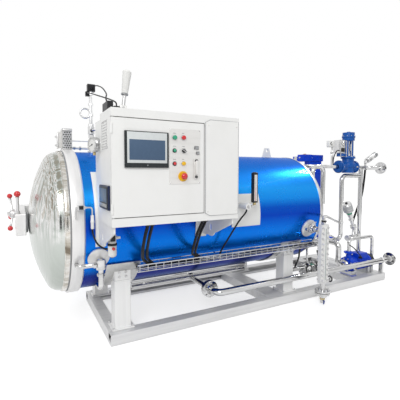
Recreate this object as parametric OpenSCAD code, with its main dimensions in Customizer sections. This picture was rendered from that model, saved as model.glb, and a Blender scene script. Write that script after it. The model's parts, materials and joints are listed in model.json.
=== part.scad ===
// Retort sterilizer: a clad pressure vessel with a swing door, on a skid with its cabinet and pipework.
// +X runs along the vessel from the door to the rear, -Y is the operator side, z = 0 is the floor.

/* [Vessel] */
// Outer radius of the blue cladding
clad_r = 550; // [530:1:580]
// Thickness of the cladding sheet
clad_t = 4; // [2:0.5:6]
// Thickness of the lagged wall between the chamber and the cladding's outside
wall_t = 50; // [40:1:80]
// Height of the vessel axis above the floor
axis_z = 882; // [860:1:950]
// Length of the clad body behind the flange ring
body_l = 2260; // [2160:10:2300]
// How far the clad body stands out past the skid's front end
front_over = 177; // [160:1:190]
// How far the flange ring stands proud of the cladding
ring_lip = 20; // [10:1:40]
// Length of the flange ring
ring_l = 80; // [60:1:100]
// Length of the silver rim at the rear end
rim_l = 12; // [8:1:20]
// How far the rear rim stands proud of the cladding
rim_lip = 4; // [2:1:8]
// Height of a lifting lug above the cladding
lug_h = 100; // [80:1:130]
// Radius of the hole in a lifting lug
lug_hole_r = 16; // [10:1:20]

/* [Vessel door] */
// Step from the flange ring in to the door rim
door_step = 14; // [10:1:25]
// Length of the door rim
door_rim_l = 36; // [30:1:50]
// Step from the door rim in to the dished door
dome_step = 11; // [4:1:20]
// Knuckle radius of the dished door
knuckle_r = 105; // [80:1:130]
// Crown radius of the dished door
crown_r = 1080; // [1000:10:1300]
// Wall of the dished ends
dome_t = 12; // [8:1:16]
// Height of the swing arm's box section
arm_h = 164; // [140:1:180]
// Width of the swing arm's box section along X
arm_w = 72; // [60:1:90]
// Gap between the dome and the swing arm
arm_gap = 14; // [8:1:30]
// Distance of the hinge pin from the flange ring's side
hinge_out = 120; // [110:1:150]
// Distance of the hinge pin behind the door's sealing face
hinge_back = 40; // [30:1:60]
// Radius of the hinge pin
hinge_pin_r = 22; // [15:1:25]
// Reach of the three-armed handle from its centre
star_r = 140; // [110:1:160]
// Radius of the red handle balls
ball_r = 18; // [12:1:22]

/* [Skid] */
// How much longer the skid is than the clad body
skid_over = 960; // [920:10:1040]
// Width of the skid
skid_w = 1034; // [1000:1:1060]
// Height of the skid
skid_h = 88; // [80:1:110]
// Width of a rail and of the end beams
rail_w = 95; // [85:1:110]
// Wall of the rails and beams
rail_t = 8; // [5:0.5:10]
// Height of the recessed foot strip under a rail
foot_h = 20; // [12:1:28]
// Width of a leg along X
leg_w = 123; // [100:1:140]
// Depth of a leg along Y
leg_d = 116; // [100:1:130]
// Distance of a leg's outer face from the axis plane
leg_y = 440; // [430:1:450]
// Height of the bolted joint at the top of a leg
leg_top = 455; // [440:1:480]
// Thickness of a leg's base plate
base_t = 10; // [6:1:16]
// Length of a saddle pad along X
saddle_l = 256; // [220:1:280]
// Thickness of a saddle pad
saddle_t = 12; // [8:1:16]

/* [Cabinet] */
// Width of the cabinet
cab_w = 865; // [840:1:900]
// Height of the cabinet
cab_h = 680; // [660:1:720]
// Depth of the cabinet
cab_d = 285; // [270:1:300]
// Height of the cabinet's underside
cab_z = 956; // [950:1:990]
// Distance of the cabinet's front from the vessel axis plane
cab_front = 1001; // [990:1:1030]
// Distance of the cabinet's left side behind the clad body's front end
cab_inset = 79; // [67:1:97]
// Sheet of the cabinet
cab_t = 4; // [2:0.5:6]
// Width of the hinged cabinet door
cab_door_w = 593; // [570:1:620]
// Height of the hinged cabinet door
cab_door_h = 571; // [540:1:590]
// Thickness of the cabinet door
cab_door_t = 20; // [16:1:26]
// Clearance round the cabinet door
door_gap = 5; // [5:0.5:8]
// Thickness of the hanging brackets
bracket_t = 10; // [6:1:14]

/* [Pipework] */
// Outer diameter of the drain main and the upper header
main_d = 60; // [50:1:70]
// Outer diameter of the lower header
drain_d = 48; // [40:1:52]
// Outer diameter of the risers
riser_d = 50; // [40:1:60]
// Outer diameter of the steam inlet and the vent pipe
steam_d = 48; // [40:1:60]
// Diameter of the pipe flanges
flange_d = 150; // [140:1:170]
// Thickness of the pipe flanges
flange_t = 18; // [12:1:24]
// Bolt circle of the pipe flanges
flange_pcd = 115; // [108:1:120]
// Radius of a flange bolt hole
flange_hole_r = 8; // [6:0.5:9]
// Wall of the pipes
pipe_t = 4; // [2:0.5:6]
// Distance of the drain main from the axis plane
main_y = 490; // [480:1:500]

/* [Hidden] */
$fn = 64;
// Clearance between curved faces that lie on each other
seat = 0.3;
e = 1;
chamber_r = clad_r - wall_t;
ring_r = clad_r + ring_lip;
door_r = ring_r - door_step;
dome_r = door_r - dome_step;
hinge_y = ring_r + hinge_out;
skid_l = body_l + skid_over;
body_x = -skid_l / 2 - front_over;
cab_x = body_x + cab_inset;
ring_x = body_x - ring_l;
rear_x = body_x + body_l;
shell_r = clad_r - clad_t - seat;
clad_top = axis_z + clad_r;
dome_x = ring_x - door_rim_l;
function dish_depth(r) = crown_r - sqrt(pow(crown_r - knuckle_r, 2) - pow(r - knuckle_r, 2));
arm_x = dome_x - dish_depth(dome_r) - arm_gap - arm_w;
arm_z = axis_z - 7;
hinge_x = ring_x + hinge_back;
front_leg_x = body_x + 226;
rear_leg_x = rear_x - 376;
inner_y = skid_w / 2 - rail_w;
cab_back = cab_front - cab_d;
cab_top = cab_z + cab_h;
cab_door_z = cab_z + 55;
cab_open_w = cab_door_w + door_gap;

white = "gainsboro";
steel = "silver";
blue = "royalblue";
dark = "dimgray";

// Common shapes

function unit(v) = v / norm(v);
function side_of(z) = abs(z[2]) < 0.9 ? unit(cross([0, 0, 1], z)) : unit(cross([1, 0, 0], z));

module basis(p, x, y, z) {
    multmatrix([[x[0], y[0], z[0], p[0]], [x[1], y[1], z[1], p[1]], [x[2], y[2], z[2], p[2]], [0,
        0, 0, 1]])
        children();
}

// Children stand at p with their Z axis along d
module along(p, d) {
    z = unit(d);
    x = side_of(z);
    basis(p, x, cross(z, x), z) children();
}

module rod(a, b, d) {
    along(a, b - a) cylinder(h = norm(b - a), d = d);
}

// Cylinder along X from x0, of length l, with its axis at y, z
module xcyl(x0, l, r, y = 0, z = axis_z) {
    translate([x0, y, z]) rotate([0, 90, 0]) cylinder(h = l, r = r, $fn = 128);
}

module xtube(x0, l, r1, r0, y = 0, z = axis_z) {
    difference() {
        xcyl(x0, l, r1, y, z);
        xcyl(x0 - e, l + 2 * e, r0, y, z);
    }
}

module box(x0, y0, z0, x1, y1, z1) {
    translate([x0, y0, z0]) cube([x1 - x0, y1 - y0, z1 - z0]);
}

// Quarter or part bend at c between the directions u and w
module bend(c, u, w, rb, d) {
    ang = acos(u * w);
    n = unit(w - u * (u * w));
    basis(c - u * rb * tan(ang / 2) + n * rb, -n, u, cross(-n, u))
        rotate_extrude(angle = ang) translate([rb, 0]) circle(d = d);
}

function bend_cut(p, i, rb) = (i == 0 || i == len(p) - 1) ? 0
    : rb * tan(acos(unit(p[i] - p[i - 1]) * unit(p[i + 1] - p[i])) / 2);

// Pipe of diameter d through the points p, bent at radius rb
module pipe(p, d, rb) {
    for (i = [0 : len(p) - 2]) {
        u = unit(p[i + 1] - p[i]);
        rod(p[i] + u * bend_cut(p, i, rb), p[i + 1] - u * bend_cut(p, i + 1, rb), d);
    }
    if (len(p) > 2) {
        for (i = [1 : len(p) - 2]) {
            bend(p[i], unit(p[i] - p[i - 1]), unit(p[i + 1] - p[i]), rb, d);
        }
    }
}

// Smooth cord of diameter d through the points p
function spline(p, i, t) = let (a = p[max(i - 1, 0)], b = p[i], c = p[i + 1], f = p[min(i + 2,
    len(p) - 1)])
    0.5 * (2 * b + (c - a) * t + (2 * a - 5 * b + 4 * c - f) * t * t + (3 * b - a - 3 * c + f)
        * t * t * t);
function smooth(p, n) = concat([for (i = [0 : len(p) - 2]) for (j = [0 : n - 1]) spline(p, i, j / n)],
    [p[len(p) - 1]]);
function tangent(q, i) = unit(q[min(i + 1, len(q) - 1)] - q[max(i - 1, 0)]);
function carry(v, t) = unit(v - t * (v * t));
function normals(q, i = 0, v = [0, 0, 0], out = []) = i == len(q) ? out
    : let (n = i == 0 ? side_of(tangent(q, 0)) : carry(v, tangent(q, i)))
    normals(q, i + 1, n, concat(out, [n]));

module cord(p, d, steps = 4, sides = 8) {
    q = smooth(p, steps);
    nn = normals(q);
    rings = [for (i = [0 : len(q) - 1]) for (k = [0 : sides - 1])
        let (t = tangent(q, i), b = cross(t, nn[i]), a = 360 * k / sides)
        q[i] + (nn[i] * cos(a) + b * sin(a)) * d / 2];
    last = (len(q) - 1) * sides;
    walls = [for (i = [0 : len(q) - 2]) for (k = [0 : sides - 1])
        let (k2 = (k + 1) % sides)
        [i * sides + k, (i + 1) * sides + k, (i + 1) * sides + k2, i * sides + k2]];
    polyhedron(rings, concat(walls, [[for (k = [0 : sides - 1]) k]],
        [[for (k = [sides - 1 : -1 : 0]) last + k]]), convexity = 6);
}

// Bolted pipe flange with its inner face at p, facing along d
module flange(p, d, bore = main_d - 2 * pipe_t) {
    along(p, d) difference() {
        cylinder(h = flange_t, d = flange_d);
        translate([0, 0, -e]) cylinder(h = flange_t + 2 * e, d = bore);
        for (a = [45 : 90 : 315]) {
            rotate([0, 0, a]) translate([flange_pcd / 2, 0, -e]) cylinder(h = flange_t + 2 * e,
                r = flange_hole_r);
        }
    }
}

// Skid

module rail(side) {
    in = 6;
    z1 = skid_h - rail_t;
    z0 = foot_h + rail_t;
    profile = [[0, foot_h], [in, foot_h], [in, 0], [rail_w, 0], [rail_w, z0], [rail_t, z0], [rail_t, z1],
        [rail_w, z1], [rail_w, skid_h], [0, skid_h]];
    mirror([0, side > 0 ? 1 : 0, 0]) translate([-skid_l / 2, -skid_w / 2, 0])
        rotate([90, 0, 90]) linear_extrude(skid_l) polygon(profile);
}

module near_rail() { color(white) rail(-1); }

module far_rail() { color(white) rail(1); }

module cross_beam(x0, w) {
    difference() {
        box(x0, -inner_y, 0, x0 + w, inner_y, skid_h);
        box(x0 + rail_t, -inner_y - e, rail_t, x0 + w - rail_t, inner_y + e, skid_h - rail_t);
    }
}

mid_beam_w = 180;
pump_beam_w = 110;
pump_x = skid_l / 2 - 500;
pump_beam_x = [pump_x - 10, pump_x + 280];

module cross_beams() {
    color(white) {
        cross_beam(-skid_l / 2, rail_w);
        cross_beam(-mid_beam_w / 2, mid_beam_w);
        for (x = pump_beam_x) {
            cross_beam(x, pump_beam_w);
        }
        cross_beam(skid_l / 2 - rail_w, rail_w);
    }
}

base_over = 24;
leg_wall = 8;
leg_cap = 50;

module leg(x0) {
    box(x0 - base_over, -leg_y - base_over, skid_h, x0 + leg_w + base_over, -leg_y + leg_d + base_over,
        skid_h + base_t);
    difference() {
        box(x0, -leg_y, skid_h, x0 + leg_w, -leg_y + leg_d, leg_top);
        box(x0 + leg_wall, -leg_y + leg_wall, skid_h + base_t, x0 + leg_w - leg_wall,
            -leg_y + leg_d - leg_wall, leg_top - leg_cap);
        xcyl(x0 - e, leg_w + 2 * e, clad_r + saddle_t + 2 * seat);
    }
}

module legs() {
    color(white) for (x = [front_leg_x, rear_leg_x]) for (s = [0, 1]) {
        mirror([0, s, 0]) leg(x);
    }
}

saddle_z = axis_z - 279;

module saddle(leg_x) {
    x0 = leg_x + leg_w / 2 - saddle_l / 2;
    difference() {
        union() {
            intersection() {
                xcyl(x0, saddle_l, clad_r + seat + saddle_t);
                box(x0 - e, -2 * clad_r, 0, x0 + saddle_l + e, 2 * clad_r, saddle_z);
            }
            for (s = [0, 1]) {
                mirror([0, s, 0]) box(leg_x, -leg_y, leg_top, leg_x + leg_w, -leg_y + leg_d, axis_z);
            }
        }
        xcyl(x0 - e, saddle_l + 2 * e, clad_r + seat);
    }
}

module front_saddle() { color(white) saddle(front_leg_x); }

module rear_saddle() { color(white) saddle(rear_leg_x); }

// Vessel

module pressure_shell() {
    color(steel) xtube(body_x, body_l - rim_l, shell_r, chamber_r);
}

module cladding() {
    color(blue) xtube(body_x, body_l - rim_l, clad_r, clad_r - clad_t);
}

module flange_ring() {
    color(white) xtube(ring_x, ring_l, ring_r, chamber_r);
}

module rear_rim() {
    color(steel) xtube(rear_x - rim_l, rim_l, clad_r + rim_lip, chamber_r);
}

// Half profile of a dished end of outer radius r, with its straight edge at height 0
function dish(r, inset, n = 10) = let (
        k = knuckle_r - inset,
        c = crown_r - inset,
        rim = r - knuckle_r,
        open = asin(rim / (crown_r - knuckle_r)),
        top = dish_depth(r) - inset)
    concat([for (i = [0 : n]) let (a = i / n * (90 - open)) [rim + k * cos(a), k * sin(a)]],
        [for (i = [1 : n]) let (a = open * (1 - i / n)) [c * sin(a), top - c + c * cos(a)]]);

module dished_shell(r) {
    out = dish(r, 0);
    in = dish(r, dome_t);
    rotate_extrude($fn = 128) polygon(concat(out, [for (i = [len(in) - 1 : -1 : 0]) in[i]]));
}

module rear_head() {
    color(steel) translate([rear_x, 0, axis_z]) rotate([0, 90, 0]) dished_shell(dome_r);
}

lug_x = [body_x + 470, rear_x - 246];
lug_w = 118;
lug_t = 16;

module lifting_lug(x) {
    difference() {
        translate([x, lug_t / 2, clad_top + seat]) rotate([90, 0, 0]) linear_extrude(lug_t)
            polygon([[-lug_w / 2, 0], [lug_w / 2, 0], [lug_w / 4, lug_h], [-lug_w / 4, lug_h]]);
        translate([x, lug_t, clad_top + lug_h * 0.7]) rotate([90, 0, 0]) cylinder(h = 2 * lug_t,
            r = lug_hole_r);
    }
}

module lifting_lugs() {
    color(white) for (x = lug_x) {
        lifting_lug(x);
    }
}

// Vessel door

module door_rim() {
    color(steel) xtube(dome_x, door_rim_l - 1, door_r, chamber_r);
}

module door_dome() {
    color(steel) translate([dome_x, 0, axis_z]) rotate([0, -90, 0]) dished_shell(dome_r);
}

arm_near = -83;
hub_r = 60;
knuckle_clear = 3;
return_w = 80;

module swing_arm() {
    z0 = arm_z - arm_h / 2;
    z1 = arm_z + arm_h / 2;
    tip_x = dome_x - dish_depth(dome_r);
    color(white) difference() {
        union() {
            box(arm_x, arm_near, z0, arm_x + arm_w, hinge_y + return_w / 2, z1);
            box(arm_x, hinge_y - return_w / 2, z0, hinge_x, hinge_y + return_w / 2, z1);
            translate([hinge_x, hinge_y, z0]) cylinder(h = arm_h, d = return_w);
            xcyl(arm_x + arm_w - e, tip_x - arm_x - arm_w + e - seat, hub_r, 0, axis_z);
        }
        translate([hinge_x, hinge_y, z0 - e]) cylinder(h = arm_h + 2 * e, r = hinge_pin_r + 0.05);
    }
}

lug_plate_t = 30;

module hinge_bracket() {
    z0 = arm_z - arm_h / 2 - knuckle_clear;
    z1 = arm_z + arm_h / 2 + knuckle_clear;
    color(white) {
        for (z = [z0 - lug_plate_t, z1]) {
            difference() {
                union() {
                    translate([hinge_x, hinge_y, z]) cylinder(h = lug_plate_t, d = return_w);
                    box(hinge_x - return_w / 2 + 8, axis_z - axis_z, z, body_x, hinge_y,
                        z + lug_plate_t);
                }
                xcyl(ring_x - 200, 600, ring_r + seat);
            }
        }
        translate([hinge_x, hinge_y, z0 - lug_plate_t]) cylinder(h = z1 - z0 + 2 * lug_plate_t,
            r = hinge_pin_r);
    }
}

star_z = arm_z + 80;
star_turn = 13;
star_hub_r = 34;
star_hub_l = 28;
star_lean = 4;
star_arm_d = 14;
function star_tip(k) = let (a = 90 + star_turn + 120 * k)
    [arm_x - star_hub_l - star_lean, star_r * cos(a), star_z + star_r * sin(a)];
function star_root(k) = let (a = 90 + star_turn + 120 * k)
    [arm_x - star_hub_l / 2 - 3, 20 * cos(a), star_z + 20 * sin(a)];

module star_handle() {
    color(dark) {
        xcyl(arm_x - star_hub_l, star_hub_l - seat, star_hub_r, 0, star_z);
        for (k = [0 : 2]) {
            rod(star_root(k), star_tip(k), star_arm_d);
        }
    }
}

module handle_balls() {
    color("crimson") for (k = [0 : 2]) {
        difference() {
            translate(star_tip(k)) sphere(r = ball_r);
            rod(star_root(k), star_tip(k) + unit(star_tip(k) - star_root(k)) * seat,
                star_arm_d + 2 * seat);
        }
    }
}

lever_h = 150;
lever_d = 20;
lever_ball_r = 23;

module lock_lever() {
    x = arm_x + 18;
    y = arm_near + 24;
    z = arm_z + arm_h / 2;
    translate([x, y, z]) {
        color(steel) cylinder(h = lever_h, d = lever_d);
        color("crimson") translate([0, 0, lever_h]) sphere(r = lever_ball_r);
    }
}

// Cabinet

pivot_in = 10;
pivot_r = 4;
pivot_l = 24;
pivot_x = cab_x + pivot_in;
pivot_y = -cab_front + pivot_in;
pivot_gap = 0.05;

// Pins at the top and bottom of the cabinet door, reaching over its clearance
module pivots(r) {
    for (z = [cab_door_z - door_gap - e, cab_door_z + cab_door_h - pivot_l]) {
        translate([pivot_x, pivot_y, z]) cylinder(h = pivot_l + door_gap + e, r = r);
    }
}

module cabinet_body() {
    front = -cab_front;
    door_x = cab_x + cab_open_w;
    seat_y = front + cab_door_t + door_gap;
    color(white) pivots(pivot_r);
    color(white) for (z = [cab_door_z - door_gap - cab_t, cab_door_z + cab_door_h + door_gap]) {
        box(cab_x, front, z, door_x, seat_y + 4 * cab_t, z + cab_t);
    }
    color(white) difference() {
        box(cab_x, front, cab_z, cab_x + cab_w, -cab_back, cab_top);
        box(cab_x + cab_t, front + cab_t, cab_z + cab_t, cab_x + cab_w - cab_t, -cab_back - cab_t,
            cab_top - cab_t);
        box(cab_x - e, front - e, cab_door_z - door_gap, door_x, seat_y,
            cab_door_z + cab_door_h + door_gap);
        box(cab_x + 2 * cab_t, front - e, cab_door_z, door_x - 20, -cab_back - 2 * cab_t,
            cab_door_z + cab_door_h);
        box(door_x + 20, front - e, cab_z + 40, cab_x + cab_w - 20, front + 3 * cab_t, cab_top - 40);
    }
}

module cabinet_door() {
    color(white) difference() {
        box(cab_x, -cab_front, cab_door_z, cab_x + cab_door_w, -cab_front + cab_door_t,
            cab_door_z + cab_door_h);
        pivots(pivot_r + pivot_gap);
    }
}

cover_t = 3;

cover_cut = [34, 17];

// Fixed right panel, with its corners cut towards the door
module cabinet_cover() {
    x0 = cab_x + cab_open_w + 6;
    x1 = cab_x + cab_w - 6;
    z0 = cab_z + 32;
    z1 = cab_top - 26;
    color(white) translate([0, -cab_front, 0]) rotate([90, 0, 0]) linear_extrude(cover_t)
        polygon([[x0, z0 + cover_cut[1]], [x0 + cover_cut[0], z0], [x1, z0], [x1, z1],
            [x0 + cover_cut[0], z1], [x0, z1 - cover_cut[1]]]);
}

panel_w = 270;
panel_h = 211;
panel_t = 12;
panel_x = cab_x + 73;
panel_z = cab_z + 343;

module touch_panel() {
    color("darkslategray") difference() {
        box(panel_x, -cab_front - panel_t, panel_z, panel_x + panel_w, -cab_front, panel_z + panel_h);
        box(panel_x + 22, -cab_front - panel_t - e, panel_z + 44, panel_x + panel_w - 22,
            -cab_front - panel_t + 3, panel_z + panel_h - 24);
    }
}

plate_x = cab_x + 350;
plate_z = cab_z + 243;
plate_w = 214;
plate_h = 340;
plate_t = 3;

module button_plate() {
    color(steel) box(plate_x, -cab_front - plate_t, plate_z, plate_x + plate_w, -cab_front,
        plate_z + plate_h);
}

// Push buttons: place across and up from the plate's corner, radius and stand-out
buttons = [[35, 285, 17, 22], [95, 287, 17, 22], [35, 206, 13, 16], [97, 206, 17, 26], [35, 126, 13, 16],
    [95, 127, 15, 18], [92, 48, 33, 8]];
stop_r = 20;
stop_l = 38;
// Port covers: place across and up from the plate's corner, width, height and stand-out
ports = [[170, 215, 32, 24, 10], [183, 183, 24, 22, 10]];

module push_buttons() {
    y = -cab_front - plate_t;
    color("seagreen") for (b = buttons) {
        translate([plate_x + b[0], y, plate_z + b[1]]) rotate([90, 0, 0]) cylinder(h = b[3], r = b[2]);
    }
    stop = buttons[6];
    color("crimson") translate([plate_x + stop[0], y, plate_z + stop[1]]) rotate([90, 0, 0])
        cylinder(h = stop_l, r = stop_r);
    color("black") for (p = ports) {
        translate([plate_x + p[0], y - p[4], plate_z + p[1]]) cube([p[2], p[4], p[3]]);
    }
}

module cabinet_latch() {
    x = cab_x + cab_door_w - 75;
    y = -cab_front - plate_t;
    z = cab_z + 272;
    color(dark) {
        box(x, y - 14, z, x + 26, y, z + 130);
        box(x + 5, y - 24, z + 30, x + 21, y - 14, z + 120);
    }
}

module side_recorder() {
    color("midnightblue") box(cab_x - 14, -cab_front + 38, cab_z + 94, cab_x, -cab_front + 270,
        cab_z + 238);
}

bracket_x = [cab_x + 12, cab_x + cab_w - 40];
lobe_y = -688;
lobe_z = cab_z - 103;
lobe_r = 66;
slot_r = 13;
slot_l = 26;
pad_t = 8;

module cabinet_bracket(x) {
    outline = [[-cab_back, cab_top - 26], [-505, cab_top - 26], [-505, lobe_z - 70], [lobe_y + 66,
        lobe_z - 70],
        [lobe_y - 70, lobe_z - 34], [-cab_front + 16, cab_z - 40], [-cab_front + 16, cab_z],
            [-cab_back, cab_z]];
    difference() {
        translate([x, 0, 0]) rotate([90, 0, 90]) linear_extrude(bracket_t) union() {
            polygon(outline);
            translate([lobe_y, lobe_z - 4]) circle(r = lobe_r);
        }
        xcyl(x - e, bracket_t + 2 * e, clad_r + pad_t + 2 * seat);
        for (z = [-slot_l / 2, slot_l / 2]) {
            xcyl(x - e, bracket_t + 2 * e, slot_r, lobe_y, lobe_z + z);
        }
        box(x - e, lobe_y - slot_r, lobe_z - slot_l / 2, x + bracket_t + e, lobe_y + slot_r,
            lobe_z + slot_l / 2);
    }
}

module cabinet_brackets() {
    color(white) for (x = bracket_x) {
        cabinet_bracket(x);
    }
}

// Pads on the vessel: place along X, length, lowest and highest edge
pads = [[cab_x - 6, 74, 754, 1272], [cab_x + cab_w - 95, 100, 754, 1272], [cab_x + cab_w + 250,
    300, 804, 1083]];

module vessel_pads() {
    color(white) for (p = pads) {
        intersection() {
            xtube(p[0], p[1], clad_r + seat + pad_t, clad_r + seat);
            box(p[0] - e, -2 * clad_r, p[2], p[0] + p[1] + e, 0, p[3]);
        }
    }
}

lamp_x = cab_x + 106;
lamp_y = -cab_front + 141;
lamp_tilt = 7;

module signal_lamp() {
    translate([lamp_x, lamp_y, cab_top]) {
        color(steel) translate([-22, -22, 0]) cube([44, 44, 40]);
        rotate([0, lamp_tilt, 0]) {
            color(steel) translate([0, 0, 30]) cylinder(h = 80, d = 22);
            color(steel) translate([0, 0, 104]) cylinder(h = 10, d = 44);
            color("whitesmoke") translate([0, 0, 114]) cylinder(h = 140, d1 = 38, d2 = 54);
        }
    }
}

// Connectors on the cabinet roof: place from its front left corner, width, depth and height
connectors = [[4, 100, 36, 130, 54], [46, 112, 36, 24, 30]];

module cable_connectors() {
    color("black") for (c = connectors) {
        translate([cab_x + c[0], -cab_front + c[1], cab_top]) cube([c[2], c[3], c[4]]);
    }
}

// Instruments on the near side

scale_x = pads[2][0] + 167;
scale_y = -clad_r - 90;
scale_z = cab_z + 31;
fit_r = 26;
probe_fit = [scale_x - 82, scale_y, scale_z];

module thermometer() {
    x = scale_x;
    y = scale_y;
    z = scale_z;
    color("black") box(x - 22, y - 17, z + 30, x + 22, y + 17, z + 280);
    color(steel) pipe([[x, y, z + 32], [x, y, z], [x - 82, y, z]], 16, 14);
    color(white) difference() {
        translate(probe_fit - [0, 24, 0]) rotate([-90, 0, 0]) cylinder(h = 200, r = fit_r);
        xcyl(x - 200, 200, clad_r + pad_t + 2 * seat);
    }
}

bowl_r = 28;
bowl_h = 102;
bowl_x = bracket_x[0] + bracket_t + 44;
bowl_y = -720;
bowl_z = cab_z - 238;

module filter_regulator() {
    x = bowl_x;
    y = bowl_y;
    z = bowl_z;
    color("black") translate([x, y, z + bowl_h]) cylinder(h = cab_z - z - bowl_h - seat, r = 20);
    color(white) translate([x, y, z]) cylinder(h = bowl_h, r = bowl_r);
    color(white) box(bracket_x[0] + bracket_t + seat, y - 15, z + 140, x, y + 15, z + 170);
    color("crimson") translate([x, y - bowl_r + 6, z + 60]) rotate([90, 0, 0]) cylinder(h = 24, r = 10);
}

// Nozzle on the vessel side at x and height z, with an escutcheon disc
function surface_y(z) = -sqrt(pow(clad_r, 2) - pow(z - axis_z, 2));
function outward(z) = [0, surface_y(z), z - axis_z] / clad_r;

module escutcheon(x, z, r) {
    difference() {
        along([x, surface_y(z), z] - outward(z) * 40, outward(z)) cylinder(h = 52, r = r);
        xcyl(x - 2 * r, 4 * r, clad_r + seat);
    }
}

front_nozzle_x = body_x + 99;
front_nozzle_z = axis_z - 211;

module front_nozzle() {
    x = front_nozzle_x;
    z = front_nozzle_z;
    p = [x, surface_y(z), z];
    q = p + outward(z) * 80;
    color(steel) {
        escutcheon(x, z, 74);
        rod(p + outward(z) * 8, q, 40);
        translate(q - [0, 0, 34]) cylinder(h = 68, d = 64);
        pipe([q, q - [0, 0, 170], q + [0, 110, -170]], 34, 30);
        difference() {
            pipe([q, [ring_x + 30, q[1], q[2]], [ring_x + 30, -490, q[2]]], 30, 24);
            xcyl(ring_x - e, ring_l + 2 * e, ring_r + seat);
        }
    }
}

valve_z = axis_z + 154;
valve_y = -clad_r - 42;
drop_end = axis_z + 10;
tube_d = 9;

// Small air valve on the flange ring, with its tubes
module ring_valve() {
    x = body_x - 26;
    left = ring_x + 21;
    right = body_x + 46;
    p = [x, valve_y, valve_z];
    color(steel) {
        difference() {
            union() {
                rod([x, valve_y + 92, valve_z], p, 20);
                pipe([p, [left, valve_y, valve_z], [left, valve_y, valve_z - 68],
                    [left, valve_y + 72, valve_z - 68]], tube_d, 16);
            }
            xcyl(ring_x - e, ring_l + 2 * e, ring_r + seat);
        }
        xcyl(x - 24, 48, 18, valve_y, valve_z);
        pipe([p, [right, valve_y, valve_z], [right, valve_y, drop_end + 60]], tube_d, 16);
        translate([right, valve_y, drop_end]) cylinder(h = 88, d = 20);
    }
}

rear_nozzle_x = rear_x - 150;
rear_nozzle_z = axis_z - 157;
gauge_y = -clad_r - 130;
gauge_x = rear_x - 103;

module rear_nozzle() {
    x = rear_nozzle_x;
    z = rear_nozzle_z;
    y1 = gauge_y + gauge_d / 2 + seat;
    color(steel) {
        escutcheon(x, z, 86);
        rod([x, surface_y(z) - 8, z], [x, y1, z], 34);
        rod([x, surface_y(z) - 34, z], [x, surface_y(z) - 80, z], 62);
    }
}

gauge_w = 100;
gauge_d = 40;
gauge_z0 = 215;
gauge_z1 = 775;

module level_gauge() {
    color(white) box(gauge_x - gauge_w / 2, gauge_y - gauge_d / 2, gauge_z0, gauge_x + gauge_w / 2,
        gauge_y + gauge_d / 2, gauge_z1);
    color(steel) {
        translate([gauge_x, gauge_y, 20]) cylinder(h = gauge_z0 - 20, d = 44);
        for (z = [104, 126]) {
            translate([gauge_x, gauge_y, z]) cylinder(h = 18, d = 140);
        }
        translate([gauge_x, gauge_y, gauge_z1]) cylinder(h = 40, d = 36);
    }
}

// Top of the vessel

stand_x = body_x + 157;
stand_h = 500;
stand_d = 26;
siphon_r = 46;
// Pressure switches: place from the pipe and over the cladding, then their sizes
sensors = [[-26, -24, stand_h, 60, 48, 56], [-40, -16, stand_h - 40, 30, 32, 36]];

module stand_pipe() {
    color(steel) {
        translate([stand_x, 0, clad_top + seat]) cylinder(h = stand_h, d = stand_d);
        translate([stand_x, 0, clad_top + 150]) cylinder(h = 60, d = 52);
        translate([stand_x - siphon_r, 0, clad_top + 320]) rotate([90, 0, 0])
            rotate_extrude() translate([siphon_r - 8, 0]) circle(d = 14);
    }
    color("black") for (b = sensors) {
        translate([stand_x + b[0], b[1], clad_top + b[2]]) cube([b[3], b[4], b[5]]);
    }
}

dial_r = 50;
dial_t = 30;
dial_turn = 19;
dial = [bracket_x[0] - 34, -clad_r - 90, axis_z + clad_r + 17];

// Pressure gauge on the bracket's outer face, turned a little to the operator
module pressure_gauge() {
    look = [-cos(dial_turn), -sin(dial_turn), 0];
    color(steel) {
        along(dial - look * dial_t / 2, look) cylinder(h = dial_t, r = dial_r);
        rod(dial, [bracket_x[0] - seat, dial[1], dial[2]], 16);
    }
}

guard_w = 68;
guard_d = 110;
guard_h = 160;
guard_t = 4;

module valve_guard() {
    x0 = ring_x + 10;
    z0 = axis_z + ring_r + seat;
    color(steel) {
        difference() {
            box(x0, -guard_d / 2, z0, x0 + guard_w, guard_d / 2, z0 + guard_h);
            box(x0 + guard_t, -guard_d / 2 + guard_t, z0 - e, x0 + guard_w - guard_t,
                guard_d / 2 - guard_t,
                z0 + guard_h - guard_t);
        }
        box(x0 - 30, -20, z0 + 10, x0, 20, z0 + guard_h - 24);
        translate([x0 + guard_w / 2, 0, z0]) cylinder(h = guard_h - 40, r = 20);
        for (t = [[12, 18], [70, 8]]) {
            rod([x0 + guard_w - guard_t / 2, 0, z0 + t[0]], [stand_x - stand_d / 2 - seat, 0,
                z0 + t[0]], t[1]);
        }
    }
}

// Cable tray, cables and hoses

tray_y0 = -clad_r - 35;
tray_y1 = -clad_r + 60;
tray_z = axis_z - 337;
tray_h = 54;
tray_t = 3;
tray_x0 = front_leg_x + leg_w + 10;
tray_x1 = gauge_x + 40;

module cable_tray() {
    color(steel) {
        difference() {
            box(tray_x0, tray_y0, tray_z, tray_x1, tray_y1, tray_z + tray_h);
            box(tray_x0 - e, tray_y0 + tray_t, tray_z + tray_t, tray_x1 + e, tray_y1 - tray_t,
                tray_z + tray_h + e);
        }
        for (x = [tray_x0 + 40, rear_leg_x + leg_w / 2]) {
            difference() {
                box(x - 20, tray_y1 - tray_t, tray_z + 4, x + 20, -leg_y, tray_z + 20);
                xcyl(x - 20 - e, 40 + 2 * e, clad_r + saddle_t + 2 * seat);
            }
        }
    }
}

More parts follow.
